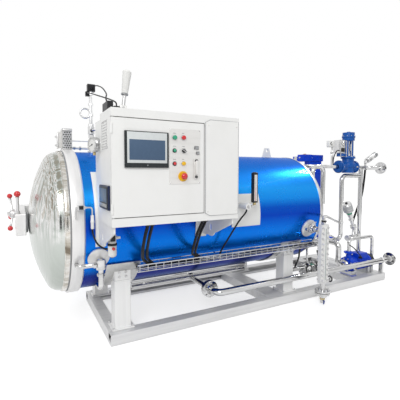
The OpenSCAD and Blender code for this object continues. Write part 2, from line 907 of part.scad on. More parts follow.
bundle_1 = [[-1445, -864, 970], [-1447, -852, 920], [-1450, -812, 850], [-1436, -725, 745],
    [-1405, -632, 662], [-1376, -588, 628], [-1325, -552, 585], [-1260, -540, 561]];
bundle_2 = [[-1042, -864, 970], [-1045, -850, 918], [-1050, -795, 840], [-1026, -680, 704],
    [-996, -608, 642], [-972, -584, 622], [-905, -550, 580], [-820, -540, 560]];
hose_3 = [[-508, -640, 972], [-514, -642, 940], [-590, -650, 870], [-650, -620, 760],
    [-690, -560, 640], [-720, -545, 575], [-780, -545, 555.5]];
hose_4 = [[-1741, -592, 898], [-1740, -594, 862], [-1724, -622, 806], [-1704, -650, 780],
    [-1680, -680, 768], [-1656, -706, 768]];
hose_5 = [[370, -680, 808], [374, -678, 840], [410, -658, 850], [600, -545, 810],
    [900, -365, 735], [1130, -242, 680], [1188, -208, 668]];
hose_6 = [[1700, -176, 1434], [1702, -152, 1418], [1700, -150, 1370], [1697, -150, 1257],
    [1652, -150, 990], [1553, -150, 782], [1487, -150, 649], [1475, -160, 590], [1459, -184, 550]];
sensor_1 = [[-1620, -19, 1950], [-1612, -120, 1956], [-1625, -400, 1880], [-1660, -690, 1775],
    [-1688, -800, 1722], [-1688, -836, 1684]];
sensor_2 = [[-1658, -12, 1910], [-1664, -120, 1894], [-1668, -450, 1810], [-1655, -760, 1726],
    [-1644, -862, 1690], [-1644, -877, 1661]];

// What the cables end on, grown by the seating clearance
module cable_ends() {
    box(cab_x, -cab_front, cab_z - seat, cab_x + cab_w, -cab_back, cab_top);
    for (c = connectors) {
        translate([cab_x + c[0] - seat, -cab_front + c[1] - seat, cab_top])
            cube([c[2] + 2 * seat, c[3] + 2 * seat, c[4] + seat]);
    }
    for (b = sensors) {
        translate([stand_x + b[0] - seat, b[1] - seat, clad_top + b[2] - seat])
            cube([b[3] + 2 * seat, b[4] + 2 * seat, b[5] + 2 * seat]);
    }
}

module cabinet_cables() {
    color("black") difference() {
        union() {
            cord(bundle_1, 24);
            cord([for (p = bundle_1) p + [34, 6, 0]], 22);
            cord(bundle_2, 22);
            cord([for (p = bundle_2) p + [30, 8, 0]], 18);
            cord(sensor_1, 9);
            cord(sensor_2, 9);
        }
        cable_ends();
    }
}

// What the hoses end on, grown by the seating clearance
module hose_ends() {
    g = 2 * seat;
    translate([probe_fit[0], probe_fit[1] - 24, probe_fit[2]]) rotate([-90, 0, 0])
        cylinder(h = 100, r = fit_r + seat);
    translate([bowl_x, bowl_y, bowl_z - seat]) cylinder(h = bowl_h + g, r = bowl_r + seat);
    translate([body_x + 46, valve_y, drop_end - seat]) cylinder(h = 88, d = 20 + g);
    translate([gauge_x, gauge_y, gauge_z1]) cylinder(h = 40 + seat, d = 36 + g);
    rod([left_riser_x, riser_y, run_z + 100], [left_riser_x, riser_y, line_z - 200], riser_d + g);
    rod(probe, probe + probe_l, 60 + g);
    rod([foot_x, riser_y, run_z], [foot_x, riser_y, run_z + stem_z + seat], 48 + g);
    rod([foot_x, riser_y, run_z + stem_z], [foot_x, riser_y, run_z + stem_z] + lean * stem_l,
        stem_d + g);
}

module air_hoses() {
    color("black") difference() {
        union() {
            cord(hose_3, 14);
            cord(hose_4, 12);
            cord(hose_5, 28);
            cord(hose_6, 24);
        }
        hose_ends();
    }
}

// Drain pipes under the vessel

upper_z = axis_z - clad_r - main_d / 2 - 8;
lower_z = upper_z - main_d / 2 - drain_d / 2 - 6;
main_z = lower_z;
header_x0 = front_leg_x + leg_w + 140;
header_x1 = -mid_beam_w / 2 + 20;
tee_x = header_x0 + 600;

module sump_header() {
    color(steel) {
        rod([header_x0, 0, upper_z], [header_x1, 0, upper_z], main_d);
        rod([header_x0, 0, lower_z], [header_x1, 0, lower_z], drain_d);
        for (x = [header_x0 + 110, header_x1 - 90]) {
            rod([x, 0, lower_z], [x, 0, axis_z - clad_r - seat], 34);
        }
    }
}

valve_y0 = -main_y + 130;

module drain_valve() {
    color(steel) {
        rod([tee_x, -drain_d / 2 - seat, main_z], [tee_x, valve_y0 + flange_t, main_z], drain_d);
        flange([tee_x, valve_y0 + flange_t, main_z], [0, -1, 0], drain_d - 2 * pipe_t);
    }
}

module drain_main() {
    end_x = skid_l / 2 + 120;
    color(steel) {
        difference() {
            pipe([[tee_x, valve_y0 - flange_t - seat, main_z], [tee_x, -main_y, main_z], [end_x,
                -main_y, main_z]], main_d, 70);
            rod([end_x - 200, -main_y, main_z], [end_x + e, -main_y, main_z], main_d - 2 * pipe_t);
        }
        flange([tee_x, valve_y0 - flange_t - seat, main_z], [0, 1, 0]);
        flange([end_x - flange_t, -main_y, main_z], [1, 0, 0]);
        box(skid_l / 2 - 60, -main_y - 20, skid_h, skid_l / 2 - 30, -main_y + 20,
            main_z - main_d / 2 + 4);
    }
}

// Rear pipework

riser_y = -200;
right_riser_x = skid_l / 2 - 65;
left_riser_x = right_riser_x - 340;
line_z = axis_z + 453;
run_z = axis_z - 412;
valve_half = 170;
valve_right = 115;
valve_x = right_riser_x - 60 - 10 - valve_half;
tie_drop = 105;
tap_x = left_riser_x - 178;
bend_r = 60;

// Outside of the rear head, with the seating clearance
module head_cut() {
    translate([rear_x, 0, axis_z]) rotate([0, 90, 0])
        rotate_extrude() polygon(concat([[0, -e], [dome_r + seat, -e]], dish(dome_r + seat, 0)));
}

module risers() {
    tie_z = line_z - tie_drop;
    color(steel) {
        difference() {
            pipe([[right_riser_x - riser_d / 2 + 2, riser_y, tie_z], [left_riser_x, riser_y, tie_z],
                [left_riser_x, riser_y, run_z], [rear_x + 20, riser_y, run_z]], riser_d, bend_r);
            head_cut();
        }
        pipe([[valve_x + valve_right + seat, riser_y, line_z], [right_riser_x, riser_y, line_z],
            [right_riser_x, riser_y, skid_h]], riser_d, bend_r);
        difference() {
            rod([rear_x + 20, riser_y, line_z], [valve_x - valve_half - seat, riser_y, line_z], 40);
            head_cut();
        }
        rod([tap_x, riser_y, line_z], [tap_x, riser_y, line_z + 240], 24);
        box(tap_x - 70, riser_y - 16, line_z + 220, tap_x + 10, riser_y + 16, line_z + 290);
    }
}

body_r = 52;
port_r = 74;
port_t = 18;
bonnet_r = 66;
post_r = 16;
cap_r = 68;
cap_h = 95;
cap_rise = 310;
yoke_rise = 120;
yoke_out = 43;
pillar_r = 20;
bonnet_h = 200;
bonnet_drop = 72;

module control_valve() {
    yoke_z = line_z + yoke_rise;
    cap_z = line_z + cap_rise;
    color(blue) {
        xcyl(valve_x - valve_half, valve_half + valve_right, body_r, riser_y, line_z);
        for (x = [valve_x - valve_half, valve_x + valve_right - port_t]) {
            xcyl(x, port_t, port_r, riser_y, line_z);
        }
        translate([valve_x, riser_y, line_z - bonnet_drop]) cylinder(h = bonnet_h, r = bonnet_r);
        for (s = [-1, 1]) {
            translate([valve_x + s * yoke_out, riser_y, yoke_z]) cylinder(h = cap_z - yoke_z + e,
                r = pillar_r);
        }
        translate([valve_x, riser_y, cap_z]) cylinder(h = cap_h, r = cap_r);
    }
    color(steel) translate([valve_x, riser_y, yoke_z]) cylinder(h = cap_z - yoke_z + e, r = post_r);
    color(dark) box(valve_x - 200, riser_y - 44, yoke_z + 40, valve_x - 110, riser_y + 44, yoke_z + 190);
    color(steel) box(valve_x - 111, riser_y - 12, yoke_z + 90, valve_x - 50, riser_y + 12, yoke_z + 120);
}

steam_end = right_riser_x + 400;
steam_z = line_z - 10;
probe = [right_riser_x + 110, riser_y, steam_z + 87];
probe_l = [175, 0, 88];

// Steam pipe that meets the bend of the right riser, with its pressure transmitter
module steam_inlet() {
    z = steam_z;
    x0 = right_riser_x - bend_r + 10;
    color(steel) {
        difference() {
            rod([x0, riser_y, z], [steam_end, riser_y, z], steam_d);
            rod([steam_end - 120, riser_y, z], [steam_end + e, riser_y, z], steam_d - 2 * pipe_t);
            bend([right_riser_x, riser_y, line_z], [1, 0, 0], [0, 0, -1], bend_r, riser_d + 2 * seat);
            translate([right_riser_x - bend_r, riser_y + 100, line_z - bend_r]) rotate([90, 0, 0])
                cylinder(h = 200, r = bend_r + 2);
        }
        flange([steam_end - flange_t, riser_y, z], [1, 0, 0], steam_d - 2 * pipe_t);
        rod([right_riser_x + 60, riser_y, z], probe + [8, 0, 4], 22);
        rod(probe, probe + probe_l, 60);
    }
}

vent_x = rear_x + 290;
vent_y = -310;
vent_rise = 215;

// Arched pipe that leaves the rear head, runs over its edge and turns down
module vent_pipe() {
    z = line_z - 5;
    color(steel) difference() {
        pipe([[rear_x + 130, vent_y, axis_z + vent_rise], [rear_x + 130, vent_y, z],
            [vent_x, vent_y, z], [vent_x, vent_y, axis_z + 44]], steam_d, bend_r);
        head_cut();
    }
}

act_x = left_riser_x - 212;
act_y = 40;
down_x = act_x + 130;

module rear_actuator() {
    z0 = axis_z + 80;
    z1 = line_z + 55;
    top = line_z + 150;
    color(blue) {
        box(act_x - 205, act_y + 40, z1 + 8, act_x - 100, act_y + 140, top - 26);
        box(act_x - 120, act_y + 30, z1 + 12, act_x, act_y + 150, top);
        box(act_x + 10, act_y + 34, z1 + 16, act_x + 200, act_y + 146, top - 2);
        box(act_x + 60, act_y + 35, z0, act_x + 200, act_y + 145, z1 - 100);
    }
    color(steel) {
        box(act_x - 20, act_y + 50, z1 - 50, act_x + 190, act_y + 130, z1 + 20);
        box(act_x + 70, act_y + 45, z1 - 104, act_x + 190, act_y + 135, z1 - 46);
        pipe([[down_x, act_y + 90, z0 + e], [down_x, act_y + 90, run_z],
            [down_x, riser_y + riser_d / 2 + seat, run_z]], riser_d, bend_r);
    }
}

foot_x = right_riser_x - 95;

lean = unit([-0.42, 0, 0.9]);
stem_l = 250;
stem_d = 40;
stem_z = 100;
head_l = 110;
head_r = 55;

module angle_valve() {
    foot = [foot_x, riser_y, run_z + stem_z];
    run = [foot_x, riser_y, run_z];
    color(steel) {
        rod(run - [130, 0, 0], [right_riser_x - riser_d / 2 - seat, riser_y, run_z], 40);
        rod(run, foot, 48);
        rod(foot - lean * stem_d / 2, foot + lean * stem_l, stem_d);
    }
    color("lightslategray") along(foot + lean * (stem_l - e), lean) cylinder(h = head_l, r = head_r);
}

pump_y = -360;
pump_z = 215;
pump_r = 84;
pump_l = 90;
motor_r = 74;
motor_l = 270;
cowl_l = 60;

module pump() {
    color(steel) {
        xcyl(pump_x, pump_l, pump_r, pump_y, pump_z);
        rod([pump_x - 50, pump_y, pump_z], [pump_x + e, pump_y, pump_z], 70);
        translate([pump_x + pump_l / 2, pump_y, pump_z]) cylinder(h = 150, d = 60);
        box(pump_x + 10, pump_y - 70, skid_h, pump_x + 80, pump_y + 70, pump_z - 70);
    }
}

module pump_motor() {
    x0 = pump_x + pump_l + seat;
    color(blue) {
        xcyl(x0, motor_l, motor_r, pump_y, pump_z);
        box(x0 + 40, pump_y - 60, pump_z + 40, x0 + 200, pump_y + 60, pump_z + 112);
        for (x = [pump_beam_x[1] + 4, pump_beam_x[1] + 56]) {
            box(x, pump_y - 80, skid_h, x + 40, pump_y + 80, pump_z - 50);
        }
    }
    color("black") xcyl(x0 + motor_l, cowl_l, motor_r - 4, pump_y, pump_z);
}

drop_x = skid_l / 2 - 36;

module pump_pipes() {
    top = pump_z + 150 + seat;
    out_x = pump_x + pump_l / 2;
    in_x = pump_x - 50 - seat;
    color(steel) {
        pipe([[out_x, pump_y, top], [out_x, pump_y, run_z + 30], [drop_x, pump_y, run_z + 30],
            [drop_x, pump_y, skid_h]], 40, 50);
        pipe([[in_x, pump_y, pump_z], [in_x - 80, pump_y, pump_z], [in_x - 80, pump_y, run_z],
            [in_x - 80, riser_y - riser_d / 2 - seat, run_z]], bend_r, 52);
    }
}

bank_y = -leg_y + leg_d / 2;

module rear_valves() {
    x0 = rear_leg_x + leg_w + seat;
    color(steel) {
        rod([x0, bank_y, pump_z + 60], [rear_x + 190, bank_y, pump_z + 60], 44);
        for (x = [rear_x - 20, rear_x + 120]) {
            xcyl(x, 16, 60, bank_y, pump_z + 60);
            xcyl(x - 60, 16, 60, bank_y, pump_z + 60);
            rod([x - 22, bank_y, pump_z + 60], [x - 22, bank_y - 60, pump_z + 60], 22);
            rod([x - 22, bank_y - 60, pump_z + 60], [x - 22, bank_y - 70, pump_z + 60], 80);
        }
    }
}

near_rail();
far_rail();
cross_beams();
legs();
front_saddle();
rear_saddle();
pressure_shell();
cladding();
flange_ring();
rear_rim();
rear_head();
lifting_lugs();
door_dome();
door_rim();
swing_arm();
hinge_bracket();
star_handle();
handle_balls();
lock_lever();
cabinet_body();
cabinet_door();
cabinet_cover();
touch_panel();
button_plate();
push_buttons();
cabinet_latch();
side_recorder();
cabinet_brackets();
vessel_pads();
signal_lamp();
cable_connectors();
thermometer();
filter_regulator();
front_nozzle();
ring_valve();
rear_nozzle();
level_gauge();
stand_pipe();
pressure_gauge();
valve_guard();
cable_tray();
cabinet_cables();
air_hoses();
sump_header();
drain_valve();
drain_main();
risers();
control_valve();
steam_inlet();
vent_pipe();
rear_actuator();
angle_valve();
pump();
pump_motor();
pump_pipes();
rear_valves();
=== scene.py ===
import json
import math
from itertools import product

import bmesh
import bpy
from mathutils import Matrix, Vector


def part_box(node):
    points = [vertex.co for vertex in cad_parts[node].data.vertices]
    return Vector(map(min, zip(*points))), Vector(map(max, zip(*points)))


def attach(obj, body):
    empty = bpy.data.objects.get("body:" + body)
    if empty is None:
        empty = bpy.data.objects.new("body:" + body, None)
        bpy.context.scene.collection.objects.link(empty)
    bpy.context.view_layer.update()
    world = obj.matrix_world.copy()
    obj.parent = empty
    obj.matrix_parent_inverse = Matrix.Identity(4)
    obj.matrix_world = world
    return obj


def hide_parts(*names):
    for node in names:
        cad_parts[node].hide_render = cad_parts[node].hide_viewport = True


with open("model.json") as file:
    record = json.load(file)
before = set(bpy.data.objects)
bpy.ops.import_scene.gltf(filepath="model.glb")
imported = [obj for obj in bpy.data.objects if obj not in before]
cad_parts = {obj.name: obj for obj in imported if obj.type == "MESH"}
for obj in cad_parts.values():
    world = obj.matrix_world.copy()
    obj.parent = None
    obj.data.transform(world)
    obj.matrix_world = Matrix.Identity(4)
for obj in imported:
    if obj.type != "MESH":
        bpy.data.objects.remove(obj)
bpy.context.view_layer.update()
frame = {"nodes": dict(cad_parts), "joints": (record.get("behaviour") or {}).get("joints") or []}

# Looks of the retort sterilizer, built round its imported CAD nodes. Metres, in the CAD frame.

nodes = frame["nodes"]
MM = 0.001
X, Y, Z = Vector((1, 0, 0)), Vector((0, 1, 0)), Vector((0, 0, 1))


def low(node):
    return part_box(node)[0]


def high(node):
    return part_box(node)[1]


def middle(node):
    lo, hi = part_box(node)
    return (lo + hi) / 2


# Places that the details are hung on, in millimetres
AXIS_Z = middle("cladding").z / MM
CLAD_R = high("cladding").z / MM - AXIS_Z
RING_R = high("flange_ring").z / MM - AXIS_Z
RING_X = low("flange_ring").x / MM
BODY_X = low("cladding").x / MM

# Places in the pipework that several details share
RISER_Y = -200
LEFT_RISER_X, RIGHT_RISER_X = 1205, 1545
LINE_Z = AXIS_Z + 453
RUN_Z = 470
DRAIN_Y, DRAIN_Z = -490, 234


def put(name, data):
    """New object in the scene with that data."""
    made = bpy.data.objects.new(name, data)
    bpy.context.scene.collection.objects.link(made)
    return made


# Materials

class Finish:
    """A Principled material, with noise for its colour, gloss and relief in object space."""

    def __init__(self, name, color, roughness, metallic=0.0, **sockets):
        self.mat = bpy.data.materials.new(name)
        self.mat.use_nodes = True
        self.tree = self.mat.node_tree
        self.bsdf = self.tree.nodes["Principled BSDF"]
        self.color, self.roughness = color, roughness
        self.set("Base Color", (*color, 1.0))
        self.set("Roughness", roughness)
        self.set("Metallic", metallic)
        for key, value in sockets.items():
            self.set(key.replace("_", " ").title().replace("Ior", "IOR"), value)
        self.mat.diffuse_color = (*color, 1.0)

    def set(self, socket, value):
        self.bsdf.inputs[socket].default_value = value

    def node(self, kind, **values):
        made = self.tree.nodes.new(kind)
        for key, value in values.items():
            setattr(made, key, value)
        return made

    def link(self, source, target):
        self.tree.links.new(source, target)

    def place(self, stretch=(1, 1, 1), shift=(0, 0, 0)):
        """Object coordinates, stretched along the axes."""
        coords = self.node("ShaderNodeTexCoord")
        mapping = self.node("ShaderNodeMapping")
        mapping.inputs["Scale"].default_value = stretch
        mapping.inputs["Location"].default_value = shift
        self.link(coords.outputs["Object"], mapping.inputs["Vector"])
        return mapping.outputs["Vector"]

    def noise(self, scale, detail=4.0, stretch=(1, 1, 1), distortion=0.0):
        made = self.node("ShaderNodeTexNoise")
        made.inputs["Scale"].default_value = scale
        made.inputs["Detail"].default_value = detail
        made.inputs["Distortion"].default_value = distortion
        self.link(self.place(stretch), made.inputs["Vector"])
        return made.outputs["Fac"]

    def ramp(self, fac, stops):
        made = self.node("ShaderNodeValToRGB")
        points = made.color_ramp.elements
        while len(points) < len(stops):
            points.new(0.5)
        for point, (at, color) in zip(points, stops):
            point.position = at
            point.color = (*color, 1.0)
        self.link(fac, made.inputs["Fac"])
        return made.outputs["Color"]

    def span(self, fac, lo, hi, start=0.3, end=0.7):
        made = self.node("ShaderNodeMapRange")
        for key, value in (("From Min", start), ("From Max", end), ("To Min", lo), ("To Max", hi)):
            made.inputs[key].default_value = value
        self.link(fac, made.inputs["Value"])
        return made.outputs["Result"]

    def math(self, kind, a, b=0.0):
        made = self.node("ShaderNodeMath", operation=kind)
        for socket, value in zip(made.inputs, (a, b)):
            if isinstance(value, (int, float)):
                socket.default_value = value
            else:
                self.link(value, socket)
        return made.outputs[0]

    def mottle(self, other, scale, stretch=(1, 1, 1), start=0.35, end=0.7, distortion=0.0):
        """Base colour that wanders to another colour."""
        self.tint(self.noise(scale, 5.0, stretch, distortion), [(start, self.color), (end, other)])
        return self

    def tint(self, fac, stops):
        """Base colour from a ramp."""
        self.link(self.ramp(fac, stops), self.bsdf.inputs["Base Color"])

    def vary(self, amount, scale, stretch=(1, 1, 1)):
        """Roughness that wanders either side of its own value."""
        lo, hi = max(0.03, self.roughness - amount), self.roughness + amount
        self.link(self.span(self.noise(scale, 5.0, stretch), lo, hi), self.bsdf.inputs["Roughness"])
        return self

    def relief(self, height, depth, strength=1.0):
        made = self.node("ShaderNodeBump")
        made.inputs["Distance"].default_value = depth
        made.inputs["Strength"].default_value = strength
        self.link(height, made.inputs["Height"])
        last = self.bsdf.inputs["Normal"].links
        if last:
            self.link(last[0].from_socket, made.inputs["Normal"])
        self.link(made.outputs["Normal"], self.bsdf.inputs["Normal"])
        return self

    def bumpy(self, scale, depth, strength=0.4, stretch=(1, 1, 1), detail=3.0):
        return self.relief(self.noise(scale, detail, stretch), depth, strength)


def around_vessel(finish):
    """Height over the vessel's axis, and distance from it, as node outputs."""
    place = finish.place(shift=(0, 0, -AXIS_Z * MM))
    parts = finish.node("ShaderNodeSeparateXYZ")
    finish.link(place, parts.inputs["Vector"])
    square = finish.math("ADD", finish.math("POWER", parts.outputs["Y"], 2.0),
                         finish.math("POWER", parts.outputs["Z"], 2.0))
    return parts.outputs["Z"], finish.math("SQRT", square)


def blue_enamel():
    """Glossy blue flake enamel with light and shade painted into its colour: pale where it faces the sky,
    painted shade deep at the vessel's waist and at the underside, a painted pale band low on the side and a
    painted highlight band above the waist.
    """
    finish = Finish("blue_enamel", (0.002, 0.12, 0.60), 0.28, 0.75, coat_weight=0.08, coat_roughness=0.05,
                    specular_ior_level=0.15)
    finish.set("Specular Tint", (0.25, 0.40, 0.80, 1.0))
    height, _ = around_vessel(finish)
    up = finish.span(height, 0.0, 1.0, -CLAD_R * MM, CLAD_R * MM)
    wander = finish.span(finish.noise(1.4, 2.0, (0.3, 1, 1)), -0.012, 0.012)
    # Painted light and shade by height round the vessel: a near black underside, a painted pale band low on
    # the side, painted shade at the waist, a painted highlight band above it, and a top that stays paler than
    # the waist.
    finish.tint(finish.math("ADD", up, wander), [
        (0.00, (0.0002, 0.010, 0.090)), (0.165, (0.0003, 0.030, 0.24)), (0.22, (0.0004, 0.160, 0.68)),
        (0.37, (0.0005, 0.170, 0.72)), (0.49, (0.0003, 0.050, 0.46)), (0.555, (0.0006, 0.080, 0.52)),
        (0.63, (0.008, 0.250, 0.78)), (0.71, (0.012, 0.300, 0.82)), (0.80, (0.010, 0.210, 0.70)),
        (0.90, (0.008, 0.160, 0.60)), (1.00, (0.010, 0.180, 0.60))])
    finish.vary(0.03, 6.0)
    return finish.bumpy(1.6, 0.003, 0.06, (0.35, 1, 1)).bumpy(700.0, 0.0002, 0.05).mat


def mirror_steel():
    """Polished dished door: spun rings and a wavy face above, a smooth grey-green lower half; reflections of
    the shop are painted into its colour, dark and brown along the waves, and the lower half is painted darker
    towards the bottom.
    """
    finish = Finish("mirror_steel", (0.80, 0.80, 0.78), 0.16, 1.0)
    height, radius = around_vessel(finish)
    rings = finish.node("ShaderNodeTexNoise", noise_dimensions="1D")
    rings.inputs["Scale"].default_value = 75.0
    rings.inputs["Detail"].default_value = 3.0
    finish.link(radius, rings.inputs["W"])
    cloud = finish.noise(3.0, 5.0, (1, 5.0, 0.9), 2.4)
    upper = finish.span(height, 0.0, 1.0, -0.10, 0.22)
    ripple_and_reflection = finish.math("MULTIPLY", finish.math("SUBTRACT", cloud, 0.5), finish.math("ADD", upper, 0.06))
    ring_mark = finish.math("MULTIPLY", finish.math("SUBTRACT", rings.outputs["Fac"], 0.5),
                            finish.math("MULTIPLY", finish.span(radius, 0.0, 1.0, 0.40, 0.50), upper))
    # Painted reflections: the wave noise paints dark and brown patches of the shop into the colour, the spun
    # rings add their own marks, and the last term paints the lower half darker towards the bottom.
    ring_marks_and_painted_reflection = finish.math(
        "ADD",
        finish.math("ADD", finish.math("MULTIPLY", ripple_and_reflection, 2.5), finish.math("MULTIPLY", ring_mark, 2.2)),
        finish.span(height, 0.22, 0.56, -0.50, 0.12))
    finish.tint(
        ring_marks_and_painted_reflection,
        [(0.14, (0.30, 0.29, 0.24)), (0.24, (0.40, 0.43, 0.40)), (0.42, (0.50, 0.53, 0.50)),
         (0.56, (0.68, 0.68, 0.67)), (0.66, (0.80, 0.80, 0.79)), (0.74, (0.50, 0.47, 0.41)),
         (0.86, (0.30, 0.27, 0.22))])
    finish.link(finish.span(rings.outputs["Fac"], 0.14, 0.26), finish.bsdf.inputs["Roughness"])
    finish.relief(ripple_and_reflection, 0.007, 0.3)
    return finish.relief(ring_mark, 0.0010, 0.35).mat


def rim_band():
    """Polished band with reflections of the shop painted into its colour: brown and dark painted patches
    along its turn.
    """
    finish = Finish("polished_band", (0.62, 0.59, 0.53), 0.18, 1.0)
    # Painted reflections: this noise paints brown and dark patches of the shop into the base colour.
    patch = finish.noise(10.0, 5.0, (0.4, 1, 1), 0.8)
    finish.tint(
        patch,
        [(0.34, (0.20, 0.17, 0.13)), (0.44, (0.46, 0.43, 0.37)), (0.54, (0.70, 0.69, 0.66)),
         (0.66, (0.52, 0.47, 0.40))])
    return finish.vary(0.05, 40.0).bumpy(240.0, 0.0004, 0.2, (0.3, 3, 3)).mat


def steel(name, color, roughness, streak=(1, 1, 1), worn=0.8, metallic=1.0):
    """Stainless steel with brush marks along one axis and a faint stain."""
    finish = Finish(name, color, roughness, metallic)
    dull = tuple(worn * c for c in color)
    finish.mottle(dull, 9.0, streak, 0.40, 0.75).vary(0.07, 26.0, streak)
    return finish.bumpy(240.0, 0.0004, 0.22, streak).mat


def enamel(name, color, roughness, grime, scale=7.0, peel=420.0, coat=0.15, gloss=0.5):
    """Sprayed enamel: orange peel, and a little grime in broad patches."""
    finish = Finish(
        name, color, roughness, 0.0, coat_weight=coat, coat_roughness=0.2, specular_ior_level=gloss)
    finish.mottle(grime, scale, (1, 1, 0.6), 0.48, 0.85).vary(0.06, 30.0)
    return finish.bumpy(peel, 0.0003, 0.12).mat


def plastic(name, color, roughness, speck=None, grain=900.0, **sockets):
    """Moulded plastic with a fine sparked grain."""
    finish = Finish(name, color, roughness, 0.0, **sockets)
    finish.mottle(speck or tuple(min(1.0, 1.25 * c + 0.01) for c in color), 60.0, start=0.45, end=0.9)
    finish.vary(0.05, 120.0)
    return finish.bumpy(grain, 0.0002, 0.18).mat


def rubber():
    """Black cable sheath, scuffed a little grey."""
    finish = Finish("cable_rubber", (0.009, 0.009, 0.010), 0.46, specular_ior_level=0.2)
    finish.mottle((0.026, 0.026, 0.027), 40.0, start=0.5, end=0.8).vary(0.1, 90.0)
    return finish.bumpy(500.0, 0.0003, 0.25).mat


WHITE = enamel("white_enamel", (0.87, 0.87, 0.855), 0.34, (0.83, 0.83, 0.81))
RING_WHITE = steel("blasted_ring", (0.84, 0.835, 0.83), 0.42, (6, 0.4, 0.4), 0.93, 0.55)
SKID = steel("blasted_steel", (0.80, 0.80, 0.80), 0.46, (0.25, 4, 4), 0.90, 0.35)
LEG = steel("brushed_leg", (0.92, 0.92, 0.91), 0.46, (5, 5, 0.2), 0.95, 0.25)
SADDLE = steel("brushed_saddle", (0.60, 0.60, 0.59), 0.36, (4, 4, 0.3), 0.86, 0.7)
BLUE = blue_enamel()
MIRROR = mirror_steel()
BAND = rim_band()
PIPE = steel("pipe_steel", (0.64, 0.64, 0.64), 0.11, (0.3, 4, 4), 0.62)
PIPE_UP = steel("riser_steel", (0.62, 0.62, 0.62), 0.12, (4, 4, 0.3), 0.62)
SATIN = steel("satin_steel", (0.72, 0.72, 0.72), 0.34, (3, 3, 0.4), 0.72)
PLATE = steel("plate_steel", (0.78, 0.77, 0.75), 0.38, (0.3, 4, 4), 0.92, 0.45)
CHAMBER = steel("chamber_steel", (0.55, 0.56, 0.57), 0.36, (0.3, 4, 4), 0.8)
BRASS = steel("brass", (0.62, 0.50, 0.26), 0.28, (1, 1, 1), 0.7)
VALVE_BLUE = enamel("valve_enamel", (0.010, 0.105, 0.42), 0.34, (0.004, 0.060, 0.30), 14.0, 300.0, 0.05, 0.2)
MOTOR_BLUE = enamel("motor_enamel", (0.004, 0.062, 0.66), 0.36, (0.002, 0.038, 0.46), 14.0, 300.0, 0.05, 0.2)
LUG = enamel("lug_enamel", (0.86, 0.84, 0.81), 0.42, (0.72, 0.71, 0.69))
PEARL = steel("satin_disc", (0.80, 0.79, 0.78), 0.44, (1, 1, 1), 0.93, 0.35)
BLACK = plastic("black_plastic", (0.013, 0.013, 0.015), 0.42, specular_ior_level=0.3)
GREY = plastic("grey_plastic", (0.30, 0.31, 0.32), 0.45)
RED = plastic("red_plastic", (0.62, 0.012, 0.018), 0.22, coat_weight=0.4)
YELLOW = plastic("yellow_plastic", (0.80, 0.46, 0.01), 0.28)
GREEN = plastic("green_plastic", (0.03, 0.36, 0.20), 0.25)
LENS = plastic("milky_lens", (0.80, 0.80, 0.78), 0.24, (0.72, 0.72, 0.70), 300.0)
RUBBER = rubber()
# Near-black sheet colour for painted shade in gaps and behind holes.
DARK = plastic("shadow_gap", (0.045, 0.047, 0.05), 0.6)
BEZEL = plastic("dark_bezel", (0.022, 0.026, 0.028), 0.42, specular_ior_level=0.25)
SCREEN = plastic(
    "screen_blue", (0.070, 0.118, 0.195), 0.4, (0.078, 0.128, 0.210), 40.0, specular_ior_level=0.25)
PALE = plastic("screen_pale", (0.66, 0.69, 0.69), 0.2, (0.60, 0.63, 0.64), 60.0)
DIAL = plastic("dial_white", (0.80, 0.80, 0.78), 0.3, (0.76, 0.76, 0.74))
BLUE_PLASTIC = plastic("blue_plastic", (0.004, 0.03, 0.22), 0.35)
GREY_HEAD = plastic("grey_head", (0.46, 0.47, 0.48), 0.35)
GLASS_STRIP = plastic("sight_glass", (0.42, 0.46, 0.46), 0.12, (0.36, 0.40, 0.40))
CONDUIT = plastic("blue_conduit", (0.01, 0.025, 0.16), 0.4)
NAVY = plastic("navy_bezel", (0.012, 0.020, 0.060), 0.42, specular_ior_level=0.25)

NODE_FINISH = {
    SKID: ["near_rail", "far_rail", "cross_beams"],
    LEG: ["legs"],
    SADDLE: ["front_saddle", "rear_saddle"],
    CHAMBER: ["pressure_shell"],
    BLUE: ["cladding"],
    RING_WHITE: ["flange_ring", "swing_arm", "hinge_bracket"],
    MIRROR: ["door_dome"],
    BAND: ["door_rim"],
    SATIN: ["rear_rim", "rear_head", "star_handle", "lock_lever", "ring_valve", "stand_pipe",
            "angle_valve", "thermometer", "signal_lamp"],
    RED: ["handle_balls"],
    LUG: ["lifting_lugs"],
    WHITE: ["cabinet_body", "cabinet_door", "cabinet_cover", "cabinet_brackets",
            "vessel_pads", "level_gauge"],
    PLATE: ["button_plate", "cabinet_latch"],
    BEZEL: ["touch_panel"],
    NAVY: ["side_recorder"],
    # The guard's inside is near black: painted shade seen through the perforated mesh.
    DARK: ["valve_guard"],
    BLACK: ["cable_connectors", "push_buttons", "filter_regulator"],
    PIPE: ["front_nozzle", "rear_nozzle", "pressure_gauge", "sump_header", "drain_valve", "drain_main",
           "steam_inlet", "pump_pipes", "rear_valves", "cable_tray"],
    PIPE_UP: ["risers", "vent_pipe"],
    VALVE_BLUE: ["control_valve"],
    MOTOR_BLUE: ["pump", "pump_motor", "rear_actuator"],
    RUBBER: ["cabinet_cables", "air_hoses"],
}

# Edges of sheet and box nodes are broken by this much
EDGE = {"cabinet_body": 3.0, "cabinet_door": 2.0, "cabinet_cover": 1.0, "swing_arm": 6.0, "legs": 5.0,
        "front_saddle": 3.0, "rear_saddle": 3.0, "near_rail": 4.0, "far_rail": 4.0, "cross_beams": 4.0,
        "flange_ring": 5.0, "door_rim": 3.0, "cabinet_brackets": 1.5, "vessel_pads": 2.0, "touch_panel": 3.0,
        "side_recorder": 4.0, "level_gauge": 4.0, "rear_actuator": 7.0, "control_valve": 5.0, "pump": 5.0,
        "pump_motor": 6.0, "lifting_lugs": 2.0, "hinge_bracket": 3.0, "cable_connectors": 4.0,
        "cabinet_latch": 3.0, "button_plate": 0.8, "valve_guard": 1.5}


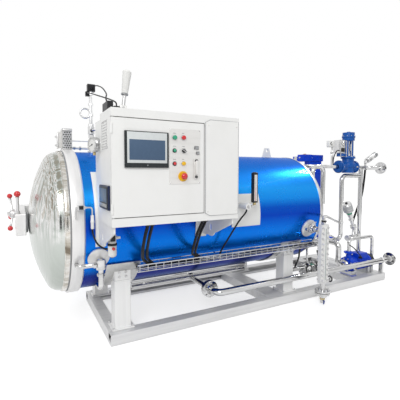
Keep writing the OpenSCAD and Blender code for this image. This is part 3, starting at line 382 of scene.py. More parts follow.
def dress_nodes():
    for finish, names in NODE_FINISH.items():
        for name in names:
            node = nodes[name]
            node.data.materials.clear()
            node.data.materials.append(finish)
            weld = node.modifiers.new("weld", "WELD")
            weld.merge_threshold = 0.00002
            if name in EDGE:
                plane = node.modifiers.new("plane", "DECIMATE")
                plane.decimate_type = "DISSOLVE"
                plane.angle_limit = math.radians(1.0)
                plane.delimit = {"MATERIAL"}
                edge = node.modifiers.new("edge", "BEVEL")
                edge.width = EDGE[name] * MM
                edge.segments = 2
                edge.limit_method = "ANGLE"
                edge.angle_limit = math.radians(40)
                edge.harden_normals = False


dress_nodes()


# Detail pieces, put together in millimetres

def corners(node):
    """Lowest and highest corner of a node in millimetres."""
    lo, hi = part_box(node)
    return lo / MM, hi / MM


def joint_place(name):
    return Vector(next(j["pos_m"] for j in frame["joints"] if j["name"] == name)) / MM


def repaint(node, finish, test):
    """Another finish on the faces of a node whose middle, in millimetres, passes the test."""
    data = nodes[node].data
    data.materials.append(finish)
    index = len(data.materials) - 1
    for face in data.polygons:
        if test(face.center / MM):
            face.material_index = index


def smooth(points, steps):
    """Points of a soft curve through the given ones."""
    points = [Vector(p) for p in points]
    path = []
    for i in range(len(points) - 1):
        a, b, c, d = (points[min(max(k, 0), len(points) - 1)] for k in range(i - 1, i + 3))
        for j in range(steps):
            t = j / steps
            path.append(0.5 * (2 * b + (c - a) * t + (2 * a - 5 * b + 4 * c - d) * t * t
                               + (3 * b - a - 3 * c + d) * t ** 3))
    return path + [points[-1]]


def directions(axis):
    """Unit vector along an axis, and two square to it."""
    axis = Vector(axis).normalized()
    side = axis.orthogonal().normalized()
    return axis, side, axis.cross(side)


def circle(center, side, up, radius, count, phase=0.0):
    """Points round a center, in the plane of two directions."""
    turns = [math.tau * (k + phase) / count for k in range(count)]
    return [center + (side * math.cos(a) + up * math.sin(a)) * radius for a in turns]


def plate_outline(radius, depth, edge):
    """Outline of a round plate with broken edges."""
    return [(0, radius - edge), (edge, radius), (depth - edge, radius), (depth, radius - edge)]


class Piece:
    """A mesh piece put together from turned, swept and bevelled forms."""

    def __init__(self, name, slot, body="plant"):
        self.name, self.slot, self.body = name, slot, body
        self.mesh = bmesh.new()
        self.finishes = []
        self.index = 0

    def use(self, finish):
        if finish not in self.finishes:
            self.finishes.append(finish)
        self.index = self.finishes.index(finish)
        return self

    def face(self, verts):
        made = self.mesh.faces.new(verts)
        made.material_index = self.index
        return made

    def skin(self, rings, loop=False):
        """Faces between rings of points, with closed ends; a ring of one point is a pole."""
        rows = [[self.mesh.verts.new(p) for p in ring] for ring in rings]
        pairs = list(zip(rows, rows[1:]))
        if loop:
            pairs.append((rows[-1], rows[0]))
        for a, b in pairs:
            count = max(len(a), len(b))
            for i in range(count):
                j = (i + 1) % count
                verts = []
                for v in (a[i % len(a)], a[j % len(a)], b[j % len(b)], b[i % len(b)]):
                    if v not in verts:
                        verts.append(v)
                if len(verts) > 2:
                    self.face(verts)
        if not loop:
            for ring in (rows[0], rows[-1]):
                if len(ring) > 2:
                    self.face(ring)
        return self

    def turn(self, at, axis, profile, sides=32, loop=False):
        """Solid of revolution; the profile's points are distance along the axis, and radius."""
        at = Vector(at)
        axis, side, up = directions(axis)
        rings = []
        for along, radius in profile:
            center = at + axis * along
            rings.append(circle(center, side, up, radius, sides) if radius > 0 else [center])
        return self.skin(rings, loop)

    def solid(self, at, axis, outline, sides=32):
        """Turned form, closed flat at an end where its outline stops short of the axis."""
        tail = [(outline[-1][0], 0)] if outline[-1][1] else []
        return self.turn(at, axis, [(outline[0][0], 0), *outline, *tail], sides)

    def sleeve(self, at, axis, bore, outline, sides=32):
        """Turned form with a straight bore through it."""
        first, last = (outline[0][0], bore), (outline[-1][0], bore)
        return self.turn(at, axis, [first, *outline, last], sides, loop=True)

    def weld_neck(self, at, axis, pipe):
        """Tapered weld between a flange and a pipe of that radius."""
        return self.sleeve(at, axis, pipe + 0.2, [(0, pipe + 10), (6, pipe + 6), (14, pipe + 1)], 40)

    def disc(self, at, axis, radius, depth, edge=1.0, sides=32):
        """Round plate with broken edges."""
        return self.solid(at, axis, plate_outline(radius, depth, edge), sides)

    def ring(self, at, axis, inner, outer, depth, edge=1.0, sides=32):
        return self.sleeve(at, axis, inner, plate_outline(outer, depth, edge), sides)

    def tube(self, points, radius, sides=10, steps=0):
        path = smooth(points, steps) if steps else [Vector(p) for p in points]
        side, rings = None, []
        for i, p in enumerate(path):
            ahead = (path[min(i + 1, len(path) - 1)] - path[max(i - 1, 0)]).normalized()
            side = ahead.orthogonal() if side is None else side - ahead * side.dot(ahead)
            side.normalize()
            up = ahead.cross(side)
            rings.append(circle(p, side, up, radius, sides))
        return self.skin(rings)

    def box(self, lo, hi, edge=1.0, frame_of=None):
        """Box with rounded edges, between two corners, in the frame of a matrix if one is given."""
        lo, hi = Vector(lo), Vector(hi)
        place = Matrix.Translation((lo + hi) / 2) @ Matrix.Diagonal((*(hi - lo), 1))
        if frame_of:
            place = frame_of @ place
        made = bmesh.ops.create_cube(self.mesh, size=1.0, matrix=place)["verts"]
        for f in {f for v in made for f in v.link_faces}:
            f.material_index = self.index
        bmesh.ops.bevel(self.mesh, geom=list({e for v in made for e in v.link_edges}), offset=edge,
                        segments=2, profile=0.5, affect="EDGES")
        return self

    def bolt(self, at, axis, across=18, stud=0.0):
        """Hexagon head on a washer, with a stud end through it if it is a nut."""
        at, axis = Vector(at), Vector(axis).normalized()
        r = across * 0.577
        self.disc(at, axis, r * 1.25, across * 0.14, across * 0.03, 20)
        head = [(0, r), (across * 0.46, r), (across * 0.58, r * 0.84)]
        self.solid(at + axis * across * 0.14, axis, head, 6)
        if stud:
            self.disc(at + axis * across * 0.7, axis, r * 0.58, stud, r * 0.1, 12)
        return self

    def bolts(self, at, axis, radius, count, across=18, stud=0.0):
        axis, side, up = directions(axis)
        for place in circle(Vector(at), side, up, radius, count, 0.5):
            self.bolt(place, axis, across, stud)
        return self

    def screw(self, at, axis, radius=5.0):
        """Slotless domed screw head."""
        shape = ((0, 1), (0.35, 0.95), (0.6, 0.6), (0.62, 0.32), (0.35, 0.3))
        return self.solid(at, axis, [(radius * along, radius * out) for along, out in shape], 16)

    def perforated(self, corner, across, up, count, pitch, hole, depth):
        """Sheet with staggered round holes: count cells across and up from a corner."""
        corner, across, up = Vector(corner), Vector(across), Vector(up)
        rim = [(0, 0), (0.5, 0), (1, 0), (1, 0.5), (1, 1), (0.5, 1), (0, 1), (0, 0.5)]
        known, faces = {}, []

        def vert(a, b):
            key = (round(a, 3), round(b, 3))
            if key not in known:
                known[key] = self.mesh.verts.new(corner + across * a + up * b)
            return known[key]

        for row in range(count[1]):
            odd = row % 2
            for col in range(count[0] - odd):
                a0, b0 = (col + odd / 2) * pitch, row * pitch
                outer = [vert(a0 + u * pitch, b0 + v * pitch) for u, v in rim]
                inner = [vert(a0 + pitch / 2 + hole * math.cos(t), b0 + pitch / 2 + hole * math.sin(t))
                         for t in (math.radians(225 + 45 * k) for k in range(8))]
                for k in range(8):
                    n = (k + 1) % 8
                    faces.append(self.face([outer[k], outer[n], inner[n], inner[k]]))
            if odd:
                halves = ((0, [(0, 0), (0.5, 0), (0.5, 0.5), (0.5, 1), (0, 1)]),
                          ((count[0] - 0.5) * pitch, [(0, 0), (0.5, 0), (0.5, 1), (0, 1), (0, 0.5)]))
                for a0, edge in halves:
                    faces.append(self.face([vert(a0 + u * pitch, row * pitch + v * pitch) for u, v in edge]))
        self.mesh.normal_update()
        bmesh.ops.solidify(self.mesh, geom=faces, thickness=depth)
        return self

    def done(self, *replaced):
        bmesh.ops.recalc_face_normals(self.mesh, faces=self.mesh.faces)
        bmesh.ops.scale(self.mesh, vec=(MM, MM, MM), verts=self.mesh.verts)
        data = bpy.data.meshes.new(self.name)
        self.mesh.to_mesh(data)
        self.mesh.free()
        for finish in self.finishes:
            data.materials.append(finish)
        data.polygons.foreach_set("use_smooth", [True] * len(data.polygons))
        data.set_sharp_from_angle(angle=math.radians(35))
        made = put(self.name, data)
        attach(made, self.body)
        if replaced:
            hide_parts(*replaced)
        return made


# Vessel and door

def vessel_trim():
    rim_lo, rim_hi = corners("door_rim")
    door = Piece("door_seals", "black_plastic", "vessel_door")
    door.use(GREY).sleeve(
        (rim_hi.x - 8, 0, AXIS_Z), X, 540, [(0, 556.6), (1, 557.6), (6, 557.6), (7.5, 556.4)], 128)
    star_end = corners("star_handle")[1].x
    arm_x = star_end + 72
    dome_x = corners("door_dome")[0].x
    # Grey boot round the hub; its dark grey also stands for the shade between the arm and the dome.
    door.sleeve(
        (arm_x, 0, AXIS_Z), X, 60.4, [(0, 76), (3, 80), (6, 75), (9, 79), (dome_x - arm_x - 1, 70)], 48)
    door.use(BAND).turn(
        (rim_lo.x, 0, AXIS_Z), X, [(-6, 545.4), (-4.5, 548.5), (-2, 550.5), (-0.2, 551.5), (-0.2, 545.4)],
        128, loop=True)
    door.done()

    ring = Piece("flange_weld", "white_paint")
    ring.use(RING_WHITE).turn(
        (BODY_X, 0, AXIS_Z), X,
        [(0.2, CLAD_R + 0.4), (0.2, RING_R - 4), (4, RING_R - 8), (7, CLAD_R + 6), (10, CLAD_R + 0.4)], 128,
        loop=True)
    ring.use(RUBBER).sleeve((RING_X - 0.8, 0, AXIS_Z), X, 530, [(0, 552), (0.7, 552)], 96)
    ring.done()

    star_at = joint_place("star_handle_turn")
    star = Piece("handle_fittings", "satin_steel", "star")
    hub_x = star_end - 28
    star.use(SATIN).disc((hub_x, star_at.y, star_at.z), -X, 25, 5, 1.5, 40)
    star.bolt((hub_x - 5, star_at.y, star_at.z), -X, 26)
    for ball in (103, 223, 343):
        way = Vector((0, math.cos(math.radians(ball)), math.sin(math.radians(ball))))
        star.sleeve(
            Vector((star_end - 31, star_at.y, star_at.z)) + way * 112, way, 6.5,
            [(0, 9.5), (2, 10.5), (9, 10.5), (12, 8)], 20)
    star.done()

    lever_lo, lever_hi = corners("lock_lever")
    lever_x, lever_y = (lever_lo.x + lever_hi.x) / 2, (lever_lo.y + lever_hi.y) / 2
    lever = Piece("lever_fittings", "satin_steel", "vessel_door")
    lever.use(SATIN).sleeve(
        (lever_x, lever_y, lever_lo.z), Z, 10.2, [(0, 19), (6, 19), (9, 15), (22, 15), (25, 12)])
    lever.sleeve((lever_x, lever_y, lever_hi.z - 54), Z, 10.2, [(0, 13), (8, 13), (10, 11)], 24)
    lever.done()
    repaint("lock_lever", RED, lambda p: p.z > lever_hi.z - 44)

    lugs = Piece("lug_welds", "white_paint")
    lo, hi = corners("lifting_lugs")
    lug_length = 118
    for x0, y in product((lo.x, hi.x - lug_length), (-8, 8)):
        lugs.use(LUG).tube([(x0 - 2, y, lo.z + 1), (x0 + lug_length + 2, y, lo.z + 1)], 4, 8)
    lugs.done()


def gauge_and_guard():
    lo, hi = corners("valve_guard")
    ring_top = AXIS_Z + RING_R
    guard = Piece("guard_mesh", "satin_steel")
    x0, x1 = RING_X + 10, RING_X + 78
    y0, y1 = lo.y, hi.y
    guard.use(SATIN)
    guard.perforated((x0 - 1.2, y1, ring_top + 3), -Y, Z, (7, 9), 15.6, 5.5, 1.4)
    guard.perforated((x1 + 1.2, y0, ring_top + 3), Y, Z, (7, 9), 15.6, 5.5, 1.4)
    guard.perforated((x0, y0 - 1.2, ring_top + 3), X, Z, (4, 8), 17.0, 6.0, 1.4)
    guard.perforated((x1, y1 + 1.2, ring_top + 3), -X, Z, (4, 8), 17.0, 6.0, 1.4)
    band = ((x0 - 3, y0, x0, y1), (x1, y0, x1 + 3, y1), (x0, y0 - 3, x1, y0), (x0, y1, x1, y1 + 3))
    for left, near, right, far in band:
        guard.use(PLATE).box((left, near, hi.z - 17), (right, far, hi.z - 3), 1)
    for z, finish in ((ring_top + 1.5, SATIN), (hi.z - 2, GREY)):
        guard.use(finish).tube([(x0, y0, z), (x1, y0, z), (x1, y1, z), (x0, y1, z), (x0, y0, z)], 2.6, 8)
    guard.use(PLATE).box((x0 - 36, -26, ring_top + 4), (x0 - 28, 26, ring_top + 124), 2)
    guard.use(SATIN)
    for z in (ring_top + 30, ring_top + 96):
        guard.bolt((x0 - 36, 0, z), -X, 16, 5)
    for x, r in ((x1 + 18, 13), (x1 + 62, 16)):
        guard.sleeve((x, 0, ring_top + 12.3), X, 8, [(0, r), (14, r), (16, r - 3)], 6)
    guard.done()
    repaint("valve_guard", PLATE, lambda p: p.x < x0 - 2)
    repaint("valve_guard", PEARL, lambda p: p.x > x1 + 4)

    dial_lo, dial_hi = corners("pressure_gauge")
    turn = math.radians(19)
    look = Vector((-math.cos(turn), -math.sin(turn), 0))
    across = Vector((math.sin(turn), -math.cos(turn), 0))
    bracket_x = corners("cabinet_brackets")[0].x
    dial = Vector((bracket_x - 34, -640, (dial_lo.z + dial_hi.z) / 2))
    front = dial + look * 15
    face = Piece("gauge_dial", "polished_steel")
    face.use(PIPE).ring(front - look * 3, look, 44, 52.5, 8, 2.0, 48)
    face.use(DIAL).disc(front - look * 0.5, look, 44.5, 2, 0.3, 48)
    face.use(BLACK)
    for k in range(28):
        a = math.radians(-135 + 10 * k)
        way = across * math.sin(a) + Z * math.cos(a)
        inner = 33 if k % 3 == 0 else 36
        face.tube([front + look * 1.6 + way * inner, front + look * 1.6 + way * 40], 0.9, 5)
    needle = across * math.sin(math.radians(-110)) + Z * math.cos(math.radians(-110))
    face.tube([front + look * 2.6 - needle * 10, front + look * 2.6 + needle * 33], 1.3, 6)
    face.disc(front + look * 1.5, look, 5, 3, 1, 16)
    face.use(BRASS).solid(dial - Z * 50, -Z, [(0, 9), (16, 9), (18, 7)], 6)
    face.done()

    stand_top = corners("stand_pipe")[1].z
    stand_x = BODY_X + 157
    clad_top = AXIS_Z + CLAD_R
    stand = Piece("stand_fittings", "satin_steel")
    stand.use(SATIN)
    unions = ((2, 30, 12), (120, 22, 26), (212, 22, 26), (300, 19, 20), (384, 19, 20), (470, 20, 26))
    for up, r, h in unions:
        stand.sleeve((stand_x, 0, clad_top + up), Z, 13.2, [(0, r), (h - 2, r), (h, r - 2.5)], 6)
    stand.use(BLACK).disc((stand_x, -27, clad_top + 180), -Y, 13, 16, 2, 20)
    stand.use(BLUE_PLASTIC).box((stand_x - 4, -50, clad_top + 174), (stand_x + 62, -40, clad_top + 186), 3)
    stand.use(BLACK)
    for x, z in ((stand_x + 4, stand_top - 56), (stand_x - 25, stand_top - 96)):
        stand.solid((x, -16, z + 18), -Y, [(0, 10), (16, 10), (20, 7)], 6)
    stand.done()
    repaint(
        "stand_pipe", BLACK,
        lambda p: p.z > stand_top - 58 or (p.z > stand_top - 98 and p.x < stand_x - 13.5))


# Cabinet

def cabinet_trim():
    lo, hi = corners("cabinet_body")
    side = Piece("side_vent", "white_paint")
    y0, y1, z0, z1 = -908, -772, 1412, 1578
    strip = 4.5
    # Dark sheet behind the vent holes: painted shade inside the cabinet.
    side.use(DARK).box((lo.x - 0.8, y0 + 4, z0 + 4), (lo.x + 0.5, y1 - 4, z1 - 4), 0.2)
    side.use(WHITE).perforated((lo.x - 2.2, y1 - 4, z0 + 4), -Y, Z, (8, 10), 16.0, 5.4, 1.2)
    strips = (
        (y0, z0, y1, z0 + strip), (y0, z1 - strip, y1, z1), (y0, z0, y0 + strip, z1),
        (y1 - strip, z0, y1, z1))
    for near, base, far, top in strips:
        side.box((lo.x - 3.2, near, base), (lo.x + 0.5, far, top), 0.8)
    for y, z in product((y0 + 3, y1 - 3), (z0 + 3, z1 - 3)):
        side.screw((lo.x - 3, y, z), -X, 3.2)
    side.done()

    rec_lo, rec_hi = corners("side_recorder")
    x = rec_lo.x
    face = Piece("recorder_face", "screen_dark")
    face.use(BEZEL).box((x - 2.5, rec_lo.y + 10, rec_lo.z + 10), (x + 1, rec_hi.y - 10, rec_hi.z - 8), 1.2)
    face.use(SCREEN).box((x - 3.6, rec_lo.y + 22, rec_lo.z + 44), (x - 2, rec_hi.y - 22, rec_hi.z - 18), 0.5)
    face.use(GREY).box((x - 3.2, rec_lo.y + 22, rec_lo.z + 14), (x - 2, rec_hi.y - 22, rec_lo.z + 36), 0.5)
    face.done()

    panel_lo, panel_hi = corners("touch_panel")
    y = panel_lo.y
    hmi = Piece("touch_screen", "screen_dark", "cabinet_door_leaf")
    left, right = panel_lo.x + 14, panel_hi.x - 11
    base, top = panel_lo.z + 27, panel_hi.z - 5
    hmi.use(PALE).box((left, y - 0.9, base), (right, y + 2.5, top), 0.6)
    hmi.use(SCREEN).box((left + 12, y - 1.4, base + 17), (right - 12, y, top - 43), 0.4)
    hmi.use(GREY).disc(((left + right) / 2, y, panel_lo.z + 14), -Y, 3.5, 1.2, 0.4, 16)
    hmi.done()

    cover = Piece("cabinet_fittings", "white_paint")
    cov_lo, cov_hi = corners("cabinet_cover")
    cut_x, cut_z = 34, 17
    left, right, base, top = cov_lo.x, cov_hi.x, cov_lo.z, cov_hi.z
    outline = [(left, base + cut_z), (left + cut_x, base), (right, base), (right, top),
               (left + cut_x, top), (left, top - cut_z), (left, base + cut_z)]
    cover.use(GREY).tube([(x, cov_lo.y + 0.4, z) for x, z in outline], 1.7, 6)
    for x, z in product((lo.x + 622, hi.x - 20), (lo.z + 60, hi.z - 60)):
        cover.use(PLATE).screw((x, lo.y - 3, z), -Y, 5.5)
    for z in (lo.z + 104, hi.z - 116):
        cover.use(WHITE).solid((lo.x + 2, lo.y + 2, z - 30), Z, [(0, 6), (1, 7), (59, 7), (60, 6)], 20)
    for x, y, r in ((-1445, -864, 20), (-1411, -858, 19), (-1042, -864, 19), (-1012, -856, 17)):
        cover.use(BLACK).solid((x, y, lo.z), -Z, [(0, r), (12, r), (14, r - 2), (24, r - 3), (28, r - 6)], 12)
    for x in (lo.x + 40, hi.x - 40):
        cover.use(PLATE).screw((x, -760, hi.z), Z, 7)
    cover.done()


def cabinet_controls():
    lo, hi = corners("button_plate")
    y = lo.y
    panel = Piece("panel_buttons", "button_mix", "cabinet_door_leaf")

    def bezel(x, z, r, finish):
        panel.use(finish).ring((x, y, z), -Y, r - 4, r, 6, 1.6, 32)

    def cap(x, z, r, out, finish):
        panel.use(finish).solid(
            (x, y, z), -Y, [(0, r), (out - 3, r), (out - 1, r - 1.2), (out, r - 3.5), (out + 0.4, 0)])

    places = [(35, 285), (95, 287), (35, 206), (97, 206), (35, 126), (95, 127), (92, 48)]
    spots = [(lo.x + a, lo.z + b) for a, b in places]
    for spot, r, finish in ((0, 17, GREEN), (1, 17, RED), (5, 16, YELLOW)):
        bezel(*spots[spot], r, PIPE)
        cap(*spots[spot], r - 3.6, 16, finish)
    for spot, finish in ((2, GREEN), (4, RED)):
        x, z = spots[spot]
        bezel(x, z, 13.5, BLACK)
        panel.use(finish).solid((x, y, z), -Y, [(0, 9.6), (8, 9.6), (12, 8), (15, 4.5), (16, 0)], 28)
    x, z = spots[3]
    bezel(x, z, 17, PIPE)
    cap(x, z, 13.2, 10, BLACK)
    tilt = Matrix.Translation((x, y - 10, z)) @ Matrix.Rotation(math.radians(35), 4, "Y")
    panel.use(BLACK).box((-20, -14, -5), (16, 0, 5), 2.4, tilt)
    panel.use(WHITE).box((8, -14.6, -1), (15, -13, 1), 0.3, tilt)
    x, z = spots[6]
    panel.use(YELLOW).solid((x, y, z), -Y, [(0, 32.5), (3, 32.5), (5, 30.5), (5, 12)], 48)
    panel.use(RED).solid(
        (x, y - 5, z), -Y,
        [(0, 12), (12, 12), (14, 18.5), (18, 20.5), (25, 19.5), (30, 15), (33, 8), (34, 0)], 40)
    for k, (x, z) in enumerate(spots[:6]):
        panel.use(GREY).box((x - 10, y - 0.8, z + 25), (x + 10 - 4 * (k % 2), y + 0.3, z + 28.5), 0.2)
    for a, b in product((7, hi.x - lo.x - 7), (7, hi.z - lo.z - 7)):
        panel.use(PIPE).screw((lo.x + a, y, lo.z + b), -Y, 3.6)
    for px, pz, w, h in ((170, 215, 32, 24), (183, 183, 24, 22)):
        x0, z0 = lo.x + px, lo.z + pz
        panel.use(BLACK).box((x0, y - 6, z0), (x0 + w, y + 0.5, z0 + h), 2)
        panel.use(GREY).box((x0 + 4, y - 10, z0 + 4), (x0 + w - 4, y - 5, z0 + h - 4), 2)
    panel.done("push_buttons")

    lo, hi = corners("cabinet_latch")
    latch = Piece("latch_handle", "satin_steel", "cabinet_door_leaf")
    x, back = (lo.x + hi.x) / 2, hi.y
    latch.use(PLATE).box((lo.x, back - 9, lo.z), (hi.x, back, hi.z), 4)
    latch.box((lo.x + 4, lo.y, lo.z + 30), (hi.x - 4, back - 8, hi.z - 8), 5)
    latch.use(BLACK).solid((x, back - 9, hi.z - 14), -Y, [(0, 10), (9, 10), (14, 7), (15, 0)], 28)
    latch.solid((x, back - 9, lo.z + 15), -Y, [(0, 9), (7, 9), (9, 7.5)], 28)
    latch.use(PIPE).box((x - 1, back - 19, lo.z + 10), (x + 1, back - 17, lo.z + 20), 0.4)
    latch.done("cabinet_latch")


def signal_tower():
    base = corners("signal_lamp")[0].z
    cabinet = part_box("cabinet_body")[0]
    x, y = cabinet.x / MM + 106, cabinet.y / MM + 141
    tilt = Matrix.Rotation(math.radians(7), 4, "Y")
    up = tilt @ Z
    foot = Vector((x, y, base))
    lamp = Piece("lamp_tower", "lamp_white")
    lamp.use(PLATE).box((x - 26, y - 26, base), (x + 26, y + 26, base + 5), 1.5)
    lamp.use(WHITE).box((x - 20, y - 20, base + 4), (x + 20, y + 20, base + 40), 5)
    lamp.use(SATIN).bolt((x, y - 20, base + 24), -Y, 11)
    lamp.solid(foot + up * 32, up, [(0, 13), (6, 13), (8, 10.5), (66, 10.5), (68, 12), (76, 12)], 28)
    lamp.use(GREY).solid(foot + up * 104, up, [(0, 20), (2, 22), (8, 22), (10, 20)], 36)
    ribs = [(11, 19)]
    for k in range(12):
        at = 12 + 10.5 * k
        r = 19.4 + 7.6 * k / 12
        ribs += [(at + 1, r), (at + 8, r + 0.8), (at + 9.6, r - 0.3)]
    lamp.use(LENS).turn(
        foot + up * 104, up, [(10, 0)] + ribs + [(139, 26.6), (145, 25), (149, 20), (150, 0)], 40)
    lamp.done("signal_lamp")


# Near side

def on_cladding(x, drop):
    """Place on the cladding's near side that far under the axis, and the way out of it."""
    place = Vector((x, -math.sqrt(CLAD_R ** 2 - drop ** 2), AXIS_Z - drop))
    return place, Vector((0, place.y, -drop)).normalized()


def instruments():
    lo, hi = corners("thermometer")
    x = hi.x - 22
    case = Piece("thermometer_scale", "black_plastic")
    y = lo.y + 7
    case.use(BLACK).solid((x, y + 17, hi.z - 6), Z, [(0, 23), (5, 22), (10, 17), (12, 0)])
    case.use(DIAL).box((x - 15, y - 1.5, hi.z - 238), (x + 15, y + 1, hi.z - 16), 0.6)
    for k in range(21):
        long = 9 if k % 5 == 0 else 5
        mark = 10 * k
        case.use(BLACK).box(
            (x + 13 - long, y - 2.1, hi.z - 228 + mark), (x + 13, y - 1, hi.z - 226.6 + mark), 0.2)
    case.use(RED).tube([(x - 3, y - 2, hi.z - 236), (x - 3, y - 2, hi.z - 120)], 1.3, 8)
    case.use(GREY).tube([(x - 3, y - 2, hi.z - 120), (x - 3, y - 2, hi.z - 20)], 1.3, 8)
    case.use(BRASS).sleeve((x, y + 17, hi.z - 252), -Z, 8.2, [(0, 15), (16, 15), (18, 12)], 6)
    boss = (lo.x + 26, lo.y - 1, 987)
    case.use(WHITE).ring(boss, -Y, 12, 27.5, 5, 1.5)
    case.use(PIPE).bolt(boss, -Y, 20)
    case.done()
    repaint("thermometer", WHITE, lambda p: p.x < lo.x + 54)
    repaint("thermometer", BLACK, lambda p: p.z > hi.z - 252)

    lo, hi = corners("filter_regulator")
    x, y = hi.x - 28, -720
    unit = Piece("air_service_unit", "black_plastic")
    unit.use(LENS).solid(
        (x, y, lo.z), Z, [(0, 12), (3, 21), (9, 26), (18, 28), (78, 28), (84, 26.5), (102, 26.5)], 36)
    unit.use(BLACK).ring((x, y, lo.z + 76), Z, 27, 31, 16, 2.5, 36)
    unit.use(GREY).solid((x, y, lo.z), -Z, [(0, 8), (5, 8), (6, 6)], 6)
    unit.use(BLACK).box((x - 22, y - 22, lo.z + 100), (x + 22, y + 22, lo.z + 150), 5)
    unit.solid(
        (x, y, lo.z + 148), Z, [(0, 15), (8, 15), (10, 19), (50, 19), (54, 16), (72, 14), (87, 14)], 24)
    for k in range(18):
        a = math.tau * k / 18
        rib = [(x + 19 * math.cos(a), y + 19 * math.sin(a), lo.z + up) for up in (160, 196)]
        unit.tube(rib, 1.8, 6)
    unit.use(WHITE).box((lo.x, y - 15, lo.z + 138), (x - 20, y + 15, lo.z + 170), 3)
    unit.use(RED).solid((x, y - 22, lo.z + 60), -Y, [(0, 5), (6, 5), (8, 10), (20, 10), (23, 8), (24, 0)], 20)
    unit.use(WHITE).solid((x + 22, y - 2, lo.z + 124), X, [(0, 11), (16, 11), (18, 9), (30, 9)], 6)
    unit.done("filter_regulator")

    valve = Piece("air_valve_fittings", "satin_steel")
    x, y, z = BODY_X - 26, -592, AXIS_Z + 154
    valve.use(BLACK).box((x - 15, y - 20, z - 11), (x + 15, y + 10, z + 15), 4)
    valve.use(SATIN)
    for side in (-1, 1):
        valve.solid((x + 20 * side, y, z), X * side, [(0, 9), (10, 9), (12, 7), (16, 7)], 6)
    valve.use(WHITE).solid(
        (BODY_X + 46, y, AXIS_Z + 10), Z,
        [(-1, 9), (2, 11), (40, 11), (43, 12.5), (54, 12.5), (57, 10.5), (90, 10.5), (92, 6)], 24)
    valve.done()

    nozzles = Piece("nozzle_fittings", "polished_steel")
    surface, out = on_cladding(BODY_X + 99, 211)
    tee = surface + out * 80
    nozzles.use(PEARL).turn(
        surface - out * 2, out,
        [(0, 40), (5, 72), (9, 76), (14, 76), (17, 70), (20, 52), (26, 34), (30, 21), (14, 20.5)], 48,
        loop=True)
    nozzles.use(SATIN).sleeve(surface + out * 34, out, 20.4, [(0, 31), (16, 31), (19, 27)], 6)
    nozzles.use(PIPE).solid(tee + Z * 33, Z, [(0, 25), (6, 25), (10, 18), (12, 0)], 6)
    nozzles.sleeve(tee - Z * 62, -Z, 17.4, [(0, 27), (18, 27), (21, 24)], 6)
    nozzles.sleeve(tee - X * 32, -X, 15.4, [(0, 24), (16, 24), (19, 21)], 6)
    repaint("front_nozzle", PEARL, lambda p: (p - surface).dot(out) < 13 and p.x > BODY_X and p.y > -545)
    lo, hi = corners("rear_nozzle")
    drop = 157
    x, z = (lo.x + hi.x) / 2, AXIS_Z - drop
    surface, out = on_cladding(x, drop)
    nozzles.use(PEARL).turn(
        surface - out * 2, out,
        [(0, 50), (6, 84), (10, 88), (15, 88), (18, 80), (22, 60), (30, 38), (40, 26), (46, 20), (46, 17.5),
         (16, 17.5)], 56, loop=True)
    body = Vector((x, surface.y - 34, z))
    nozzles.use(PIPE).sleeve(body, -Y, 17.4, [(0, 44), (4, 47), (22, 47), (26, 40), (40, 40), (46, 34)], 8)
    nozzles.use(PIPE).sleeve(body - Y * 48, -Y, 17.4, [(0, 33), (14, 33), (18, 26), (24, 26), (26, 23)], 6)
    nozzles.use(SATIN).solid(body - Y * 22 + Z * 30, Z, [(0, 14), (12, 14), (14, 9), (30, 9)], 16)
    nozzles.use(PIPE).box(body + Vector((-46, -32, 58)), body + Vector((46, -14, 66)), 3)
    nozzles.use(PIPE).solid(
        body - Y * 22 - X * 30, -X, [(0, 15), (10, 15), (12, 11), (38, 11), (40, 14), (52, 14), (54, 11)],
        16)
    nozzles.done()
    repaint("rear_nozzle", PEARL, lambda p: (p - surface).dot(out) < 13)


def level_column():
    lo, hi = corners("level_gauge")
    x, front, pipe_y = (lo.x + hi.x) / 2, -700, -680
    plate_lo, plate_hi = 215, 775
    gauge = Piece("gauge_bolts", "satin_steel")
    gauge.use(WHITE).box((x - 17, front - 9, plate_lo + 14), (x + 17, front + 1, plate_hi - 14), 3)
    gauge.use(GLASS_STRIP).box((x - 6, front - 10.5, plate_lo + 34), (x + 6, front - 8, plate_hi - 34), 1)
    rows = 11
    for k in range(rows):
        z = plate_lo + 28 + (plate_hi - plate_lo - 56) * k / (rows - 1)
        for side in (-1, 1):
            gauge.use(SATIN).bolt((x + 34 * side, front, z), -Y, 18, 8)
            gauge.bolt((x + 34 * side, front + 40, z), Y, 18, 8)
        if k % 2 == 0:
            gauge.use(PIPE).box((x - 47, front - 3, z - 3), (x + 47, front + 0.4, z + 3), 1)
    for z, way in ((104, -Z), (144, Z)):
        gauge.use(SATIN).bolts((x, pipe_y, z), way, 54, 6, 18, 6)
    gauge.use(BRASS).sleeve((x, pipe_y, 66), -Z, 22.4, [(0, 27), (12, 27), (15, 24)], 6)
    gauge.use(BLUE_PLASTIC).solid(
        (x, pipe_y - 24, 42), (-0.75, -0.55, -0.25), [(0, 8), (16, 8), (18, 6), (46, 6), (52, 3)], 14)
    gauge.use(SATIN).sleeve((x, pipe_y, plate_hi + 2), Z, 18.4, [(0, 28), (16, 28), (19, 24)], 6)
    gauge.use(BLACK).sleeve((x, pipe_y, plate_hi + 26), Z, 18.4, [(0, 24), (13, 24), (14, 20)], 24)
    hub = Vector((x + 99, pipe_y, plate_lo + 22))
    gauge.use(SATIN).solid(hub - X * 49.5, X, [(0, 15), (14, 15), (16, 11), (52, 11)], 16)
    gauge.use(BLACK).ring(hub - X * 7, X, 22, 32, 14, 5, 28)
    gauge.use(SATIN)
    for a in range(3):
        way = Vector((0, math.cos(a * 2.094), math.sin(a * 2.094)))
        gauge.tube([hub, hub + way * 25], 3.4, 8)
    gauge.done()
    repaint("level_gauge", PIPE_UP, lambda p: p.z < plate_lo - 1 or p.z > plate_hi + 1)


